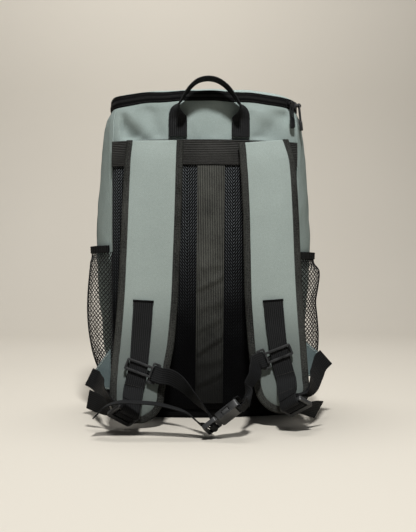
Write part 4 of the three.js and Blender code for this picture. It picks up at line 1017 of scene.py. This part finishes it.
def band_rings(node):
    """The four-cornered rings of a CAD band, in order, with the first two corners across its width."""
    co, triangles = welded(node)
    near = [set() for _ in co]
    for a, b, c in triangles:
        near[a] |= {b, c}
        near[b] |= {a, c}
        near[c] |= {a, b}
    start = next(i for i, n in enumerate(near) if len(n) == 4)
    first = list(near[start])
    ring = [first[0]]
    while len(ring) < 4:
        ring.append(next(i for i in first if i in near[ring[-1]] and i not in ring))
    rings = [ring]
    seen = {start, *ring}
    while True:
        ahead = set().union(*(near[i] for i in ring)) - seen
        if len(ahead) < 4:
            break
        by_pair = {}
        for i in ahead:
            a, b = sorted(k for k, j in enumerate(ring) if j in near[i])
            by_pair[b if (a, b) == (0, 3) else a] = i
        ways = [[by_pair[(k - back) % 4] for k in range(4)] for back in (0, 1)]
        if len(rings) == 1:
            spread = [sum(norm(co[i] - co[j]) for i, j in zip(way, ring)) for way in ways]
            pick = int(spread[1] < spread[0])
        ring = ways[pick]
        rings.append(ring)
        seen |= set(ring)
    made = co[np.array(rings)]
    wide = norm(made[:, 1] - made[:, 0], axis=1).mean()
    if wide < norm(made[:, 2] - made[:, 1], axis=1).mean():
        made = np.roll(made, 1, 1)
    return made


class Band:
    """A webbing band's middle line, and its width and thickness as directions."""

    def __init__(self, node):
        rings = band_rings(node)
        count = len(rings)
        at = np.linspace(0, count - 1, (count - 1) * BAND_FINER + 1)
        rings = smooth_table(np.arange(count, dtype=float), rings.reshape(count, -1), at).reshape(-1, 4, 3)
        self.middle = rings.mean(1)
        self.across = (rings[:, 1] - rings[:, 0] + rings[:, 2] - rings[:, 3]) / 2
        self.out = (rings[:, 3] - rings[:, 0] + rings[:, 2] - rings[:, 1]) / 2
        self.along = lengths_along(self.middle)

    def points(self, a, h):
        across = a[None, :, None] * self.across[:, None]
        return self.middle[:, None] + across + h[None, :, None] * self.out[:, None]


def build_webbing(name, node, ribs):
    band = Band(node)
    share, wave = rib_wave(ribs, 0.3)
    a = share - 0.5
    edge = ease(np.minimum(share, 1 - share), 0, 0.04)
    h = 0.5 * (0.45 + 0.55 * edge) + 0.35 * (wave - 0.15) * edge
    a = np.concatenate([a, a[::-1]])
    h = np.concatenate([h, -h[::-1]])
    width = norm(band.across, axis=1).mean()
    u = lengths_along(np.column_stack([a * width, h]))
    Cut().capped(band.points(a, h), u, band.along).piece(name, web, node)
    return band


def sew_webbing(side, band):
    """Rolled top end, cross seams and doubled lower end of the webbing on a strap; the black roll also
    reaches a little past the webbing's edges as a painted shadow of the seam it goes into.
    """
    face = band.out * np.where(band.out[:, 1:2] < 0, 1, -1)
    order = np.arange(len(face))
    if band.middle[0, 2] <= band.middle[-1, 2]:
        order = order[::-1]
    level = band.middle[order, 2]
    run = order[:np.argmin(level)]
    level = level[:len(run)]

    def rows_of(rows, a, h):
        return band.middle[rows, None] + a[:, None] * band.across[rows, None] + h * face[rows, None]

    # black roll: the folded top end, and past the webbing's edges a painted shadow of the seam
    roll = Cut()
    roll.tube(rows_of(run[:1], np.linspace(-0.53, 0.53, 14), 0.2)[0], 1.5, 8)
    roll.piece(f"web_roll_{side}", black_cloth)
    seams = WEB_SEAMS[side]
    a = np.linspace(-0.49, 0.49, 12)
    rows = run[(level < seams[0] + 1.5) & (level > WEB_DOUBLED[side])]
    front, back = (rows_of(rows, a, h) for h in (1, 0.3))
    doubled = Cut().sheet(front, back, a * DOUBLED_WIDTH, band.along[rows])
    doubled.piece(f"web_doubled_{side}", web)
    sewn = Cut()
    for seam in seams:
        at = run[[np.argmin(np.abs(level - seam))]]
        out = np.repeat(face[at], len(a), 0)
        add_stitches(sewn, rows_of(at, a, 1.05)[0], out, length=2.4, gap=0.9, thick=0.4)
    sewn.piece(f"web_stitches_{side}", dark_thread)


# Hard fittings

def build_fitting(name, node, finish, radius, body="pack"):
    """A moulded fitting with its edges rounded."""
    co, triangles = welded(node)
    mesh = bpy.data.meshes.new(name)
    mesh.from_pydata((co * MM).tolist(), [], triangles.tolist())
    dressed(name, mesh, finish, body, [node], radius)


# Pockets

# Least distance of a pocket from the bag, gape of its mouth, and the yarn of its edges
POCKET_LEAST = 1.4
MOUTH_GAPE = 9
EDGE_YARN = 0.8


def side_point(mirror, t, z, out):
    """Points on a side of the bag, moved out from it."""
    back, side, front, back_y, _, front_y, _ = bag_at(z)
    bulge = side - (back + front) / 2
    x = back + (front - back) * t + bulge * 4 * t * (1 - t)
    along = unit(np.stack([front - back + bulge * 4 * (1 - 2 * t), front_y - back_y], -1))
    y = back_y + (front_y - back_y) * t
    return np.stack([mirror * (x + along[..., 1] * out), y - along[..., 0] * out, z], -1)


def pocket_stand(side, t, z):
    """How far a pocket stands off the bag, drawn in towards its hem."""
    hem = POCKET_HEM[side]
    table = smooth_table(POCKET[:, 0], POCKET[:, 1:], np.ravel(z))
    full = table[:, SIDES.index(side)].reshape(np.shape(z))
    share = np.clip((t - POCKET_FROM) / (POCKET_TO - POCKET_FROM), 0, 1)
    after = np.clip((share - POCKET_PEAK) / (1 - POCKET_PEAK), 0, 1)
    around = np.where(share < POCKET_PEAK, share / POCKET_PEAK, 1 - after ** POCKET_FALL)
    full = POCKET_LEAST + full * around
    mouth = POCKET_LEAST + MOUTH_GAPE * np.exp(-(((t - 0.7) / 0.2) ** 2))
    return full + (mouth - full) * ease(z, hem - 16, hem)


def net_point(side, mirror, a, z, proud):
    """Points of a pocket's net, a length round from the bag's corner; its sewn edge is on the back pad."""
    t = POCKET_FROM + (POCKET_TO - POCKET_FROM) * np.maximum(a, 0) / NET_WIDE
    body = side_point(mirror, t, z, pocket_stand(side, t, z) + proud)
    seam = back_point(mirror * PAD_REACH * bag_at(z)[0], z, 2.6 + proud)
    turned = np.clip(-a / NET_SEAM, 0, 1)[..., None]
    return body * (1 - turned) + seam * turned


def build_pocket(side, mirror):
    hem = POCKET_HEM[side]
    reach = hem - NET_BOTTOM
    net = Cut()
    for lean in (-1, 1):
        for start in np.arange(-NET_SEAM - reach, NET_WIDE + reach, NET_PITCH):
            z = np.linspace(NET_BOTTOM, hem, 90)
            a = start + lean * (z - NET_BOTTOM)
            inside = (a > -NET_SEAM) & (a < NET_WIDE)
            if inside.sum() < 4:
                continue
            z, a = z[inside], a[inside]
            path = net_point(side, mirror, a, z, 0.7 + 0.2 * lean)
            face = net_point(side, mirror, a, z, 5) - path
            net.tube(path, np.interp(a, *NET_YARN), 4, normals=unit(face))
    up = np.linspace(NET_BOTTOM, hem, 60)
    across = np.linspace(-NET_SEAM, NET_WIDE, 60)
    edges = [(np.full(60, -NET_SEAM), up), (np.full(60, NET_WIDE), up), (across, np.full(60, NET_BOTTOM))]
    for a, z in edges:
        net.tube(net_point(side, mirror, a.astype(float), z.astype(float), 0.7), EDGE_YARN, 6)
    net.piece(f"net_{side}", net_yarn, f"side_pocket_{side}")
    share, ribs = rib_wave(4, 0.35)
    z = (hem - 0.8 + share * (HEM_HEIGHT + 0.6))[:, None]
    t = np.linspace(POCKET_FROM, POCKET_TO, 100)[None]
    gather = 0.5 * np.sin(t * 150) * np.sin(t * 37)
    stand = pocket_stand(side, t, np.full(t.shape, float(hem))) + 0 * z
    full_t = t + 0 * z
    full_z = z + 0 * t
    front = side_point(mirror, full_t, full_z, stand + 2 + ribs[:, None] + gather)
    back = side_point(mirror, full_t, full_z, stand + gather)
    Cut().sheet(front, back, t[0] * NET_WIDE, z[:, 0]).piece(f"net_hem_{side}", web, f"pocket_hem_{side}")


def build_tab(side):
    top, low, out_low, out_top = (np.array(p, float) for p in TABS[side])
    s = np.linspace(0, 1, 22)[:, None, None]
    t = np.linspace(0, 1, 18)[None, :, None]
    sheet = (top * (1 - s) + low * s) * (1 - t) + (out_top * (1 - s) + out_low * s) * t
    face = unit(np.cross(low - top, out_top - top))
    edge = np.minimum(np.minimum(s, 1 - s), np.minimum(t, 1 - t))
    soft = crumple(sheet, 18)[..., None] * 0.7
    half = 0.35 + 0.6 * ease(edge, 0, 0.08)
    front, back = (sheet + face * (soft + off) for off in (half, -half))
    cut = Cut().sheet(front, back, t[0, :, 0] * 30, s[:, 0, 0] * 50)
    tab = cut.piece(f"tab_cloth_{side}", tab_cloth, f"corner_tab_{side}")
    halves = np.cross(low - top, out_low - top), np.cross(out_low - top, out_top - top)
    area = sum(norm(half) for half in halves) / 2
    flat = (norm(out_top - top) * MM, norm(low - top) * MM)
    rows = Cut()
    toward = face if face[1] < 0 else -face
    for pair in ((top, out_top), (low, out_low)):
        path = pair[0] + (pair[1] - pair[0]) * np.linspace(0.05, 0.95, 12)[:, None]
        path = path + (sheet.mean((0, 1)) - path) * 0.12 + toward * 1.4
        add_stitches(rows, path, np.tile(toward, (12, 1)))
    rows.piece(f"tab_stitches_{side}", grey_thread)


build_bag()
build_base()
build_lid()
build_zip()
build_back_pad()
build_spine()
build_yoke()
for side in SIDES:
    build_strap(side)
for side in SIDES:
    strap_band = build_webbing(f"strap_web_{side}", f"strap_webbing_{side}", 10)
    build_webbing(f"lower_web_{side}", f"lower_webbing_{side}", 10)
    build_webbing(f"sternum_web_{side}", f"sternum_strap_{side}", 8)
    build_fitting(f"lock_{side}", f"ladder_lock_{side}", plastic, 0.7)
    build_fitting(f"clip_{side}", f"sternum_slider_{side}", plastic, 0.45)
    build_tab(side)
    sew_webbing(side, strap_band)
build_webbing("handle_web", "grab_handle", 10)
build_fitting("plug", "buckle_plug", plastic, 0.5)
build_fitting("socket", "buckle_socket", plastic, 0.5)
build_pocket("left", -1)
build_pocket("right", 1)
for face in ("back", "side"):
    build_fitting(f"slider_{face}", f"zip_slider_{face}", slider_metal, 0.3)
    build_fitting(f"pull_{face}", f"zip_pull_{face}", pull_plastic, 0.4, f"zip_pull_{face}")


# Stage, light and camera

# Paper sweep in metres: its reach, its bend and where it stands behind the pack
PAPER_REACH = 4.0
PAPER_BEND = 0.9
PAPER_BACK = 2.0

# Lamps: name, place, aim, size, power, colour
LAMPS = [
    ("key", (0.05, -1.0, 1.46), (0, -0.05, 0.25), 0.18, 30, (1.0, 0.99, 0.97)),
    ("fill_left", (-1.6, -1.4, 0.9), (0, 0, 0.2), 1.6, 0.6, (0.95, 0.98, 1.0)),
    ("backdrop", (-0.15, 0.5, 2.2), (-0.15, 2.0, 0.2), 1.4, 39, (1.0, 0.98, 0.96)),
]


def build_stage():
    paper = Finish("pale_paper", None, roughness=0.9, specular_ior_level=0.1)
    paper.feed("Base Color", paper.mix(paper.noise(scale=1.5, detail=2), "C1BCB2", "C7C2B8"))
    turn = np.radians(np.linspace(0, 90, 16))
    foot = PAPER_BACK - PAPER_BEND
    bend = [(foot + PAPER_BEND * math.sin(a), PAPER_BEND - PAPER_BEND * math.cos(a)) for a in turn]
    profile = [(-PAPER_REACH, 0.0), *bend, (PAPER_BACK, PAPER_REACH)]
    points = [(x, y, z) for y, z in profile for x in (-PAPER_REACH, PAPER_REACH)]
    faces = [(2 * i, 2 * i + 1, 2 * i + 3, 2 * i + 2) for i in range(len(profile) - 1)]
    mesh = bpy.data.meshes.new("paper_sweep")
    mesh.from_pydata(points, [], faces)
    mesh.shade_smooth()
    mesh.materials.append(paper.material)
    floor = placed("paper_sweep", mesh)


def build_camera():
    lens = bpy.data.cameras.new("camera")
    lens.lens = 52.04
    lens.sensor_width = 36
    camera = placed("camera", lens)
    camera.location = (-0.0316, -1.0794, 0.1983)
    camera.rotation_euler = (math.radians(90), 0, math.radians(-2))
    scene.camera = camera


build_stage()
for name, at, aim, size, power, tint in LAMPS:
    lamp = bpy.data.lights.new(name, "AREA")
    lamp.shape = "DISK"
    lamp.size = size
    lamp.energy = power
    lamp.color = tint
    made = placed(name, lamp)
    made.location = at
    made.rotation_euler = (Vector(aim) - Vector(at)).to_track_quat("-Z", "Y").to_euler()
sky = bpy.data.worlds.new("soft_sky")
sky.use_nodes = True
sky.node_tree.nodes["Background"].inputs["Color"].default_value = (0.95, 0.96, 1.0, 1)
sky.node_tree.nodes["Background"].inputs["Strength"].default_value = 0.055
scene.world = sky
scene.view_settings.view_transform = "Standard"
build_camera()
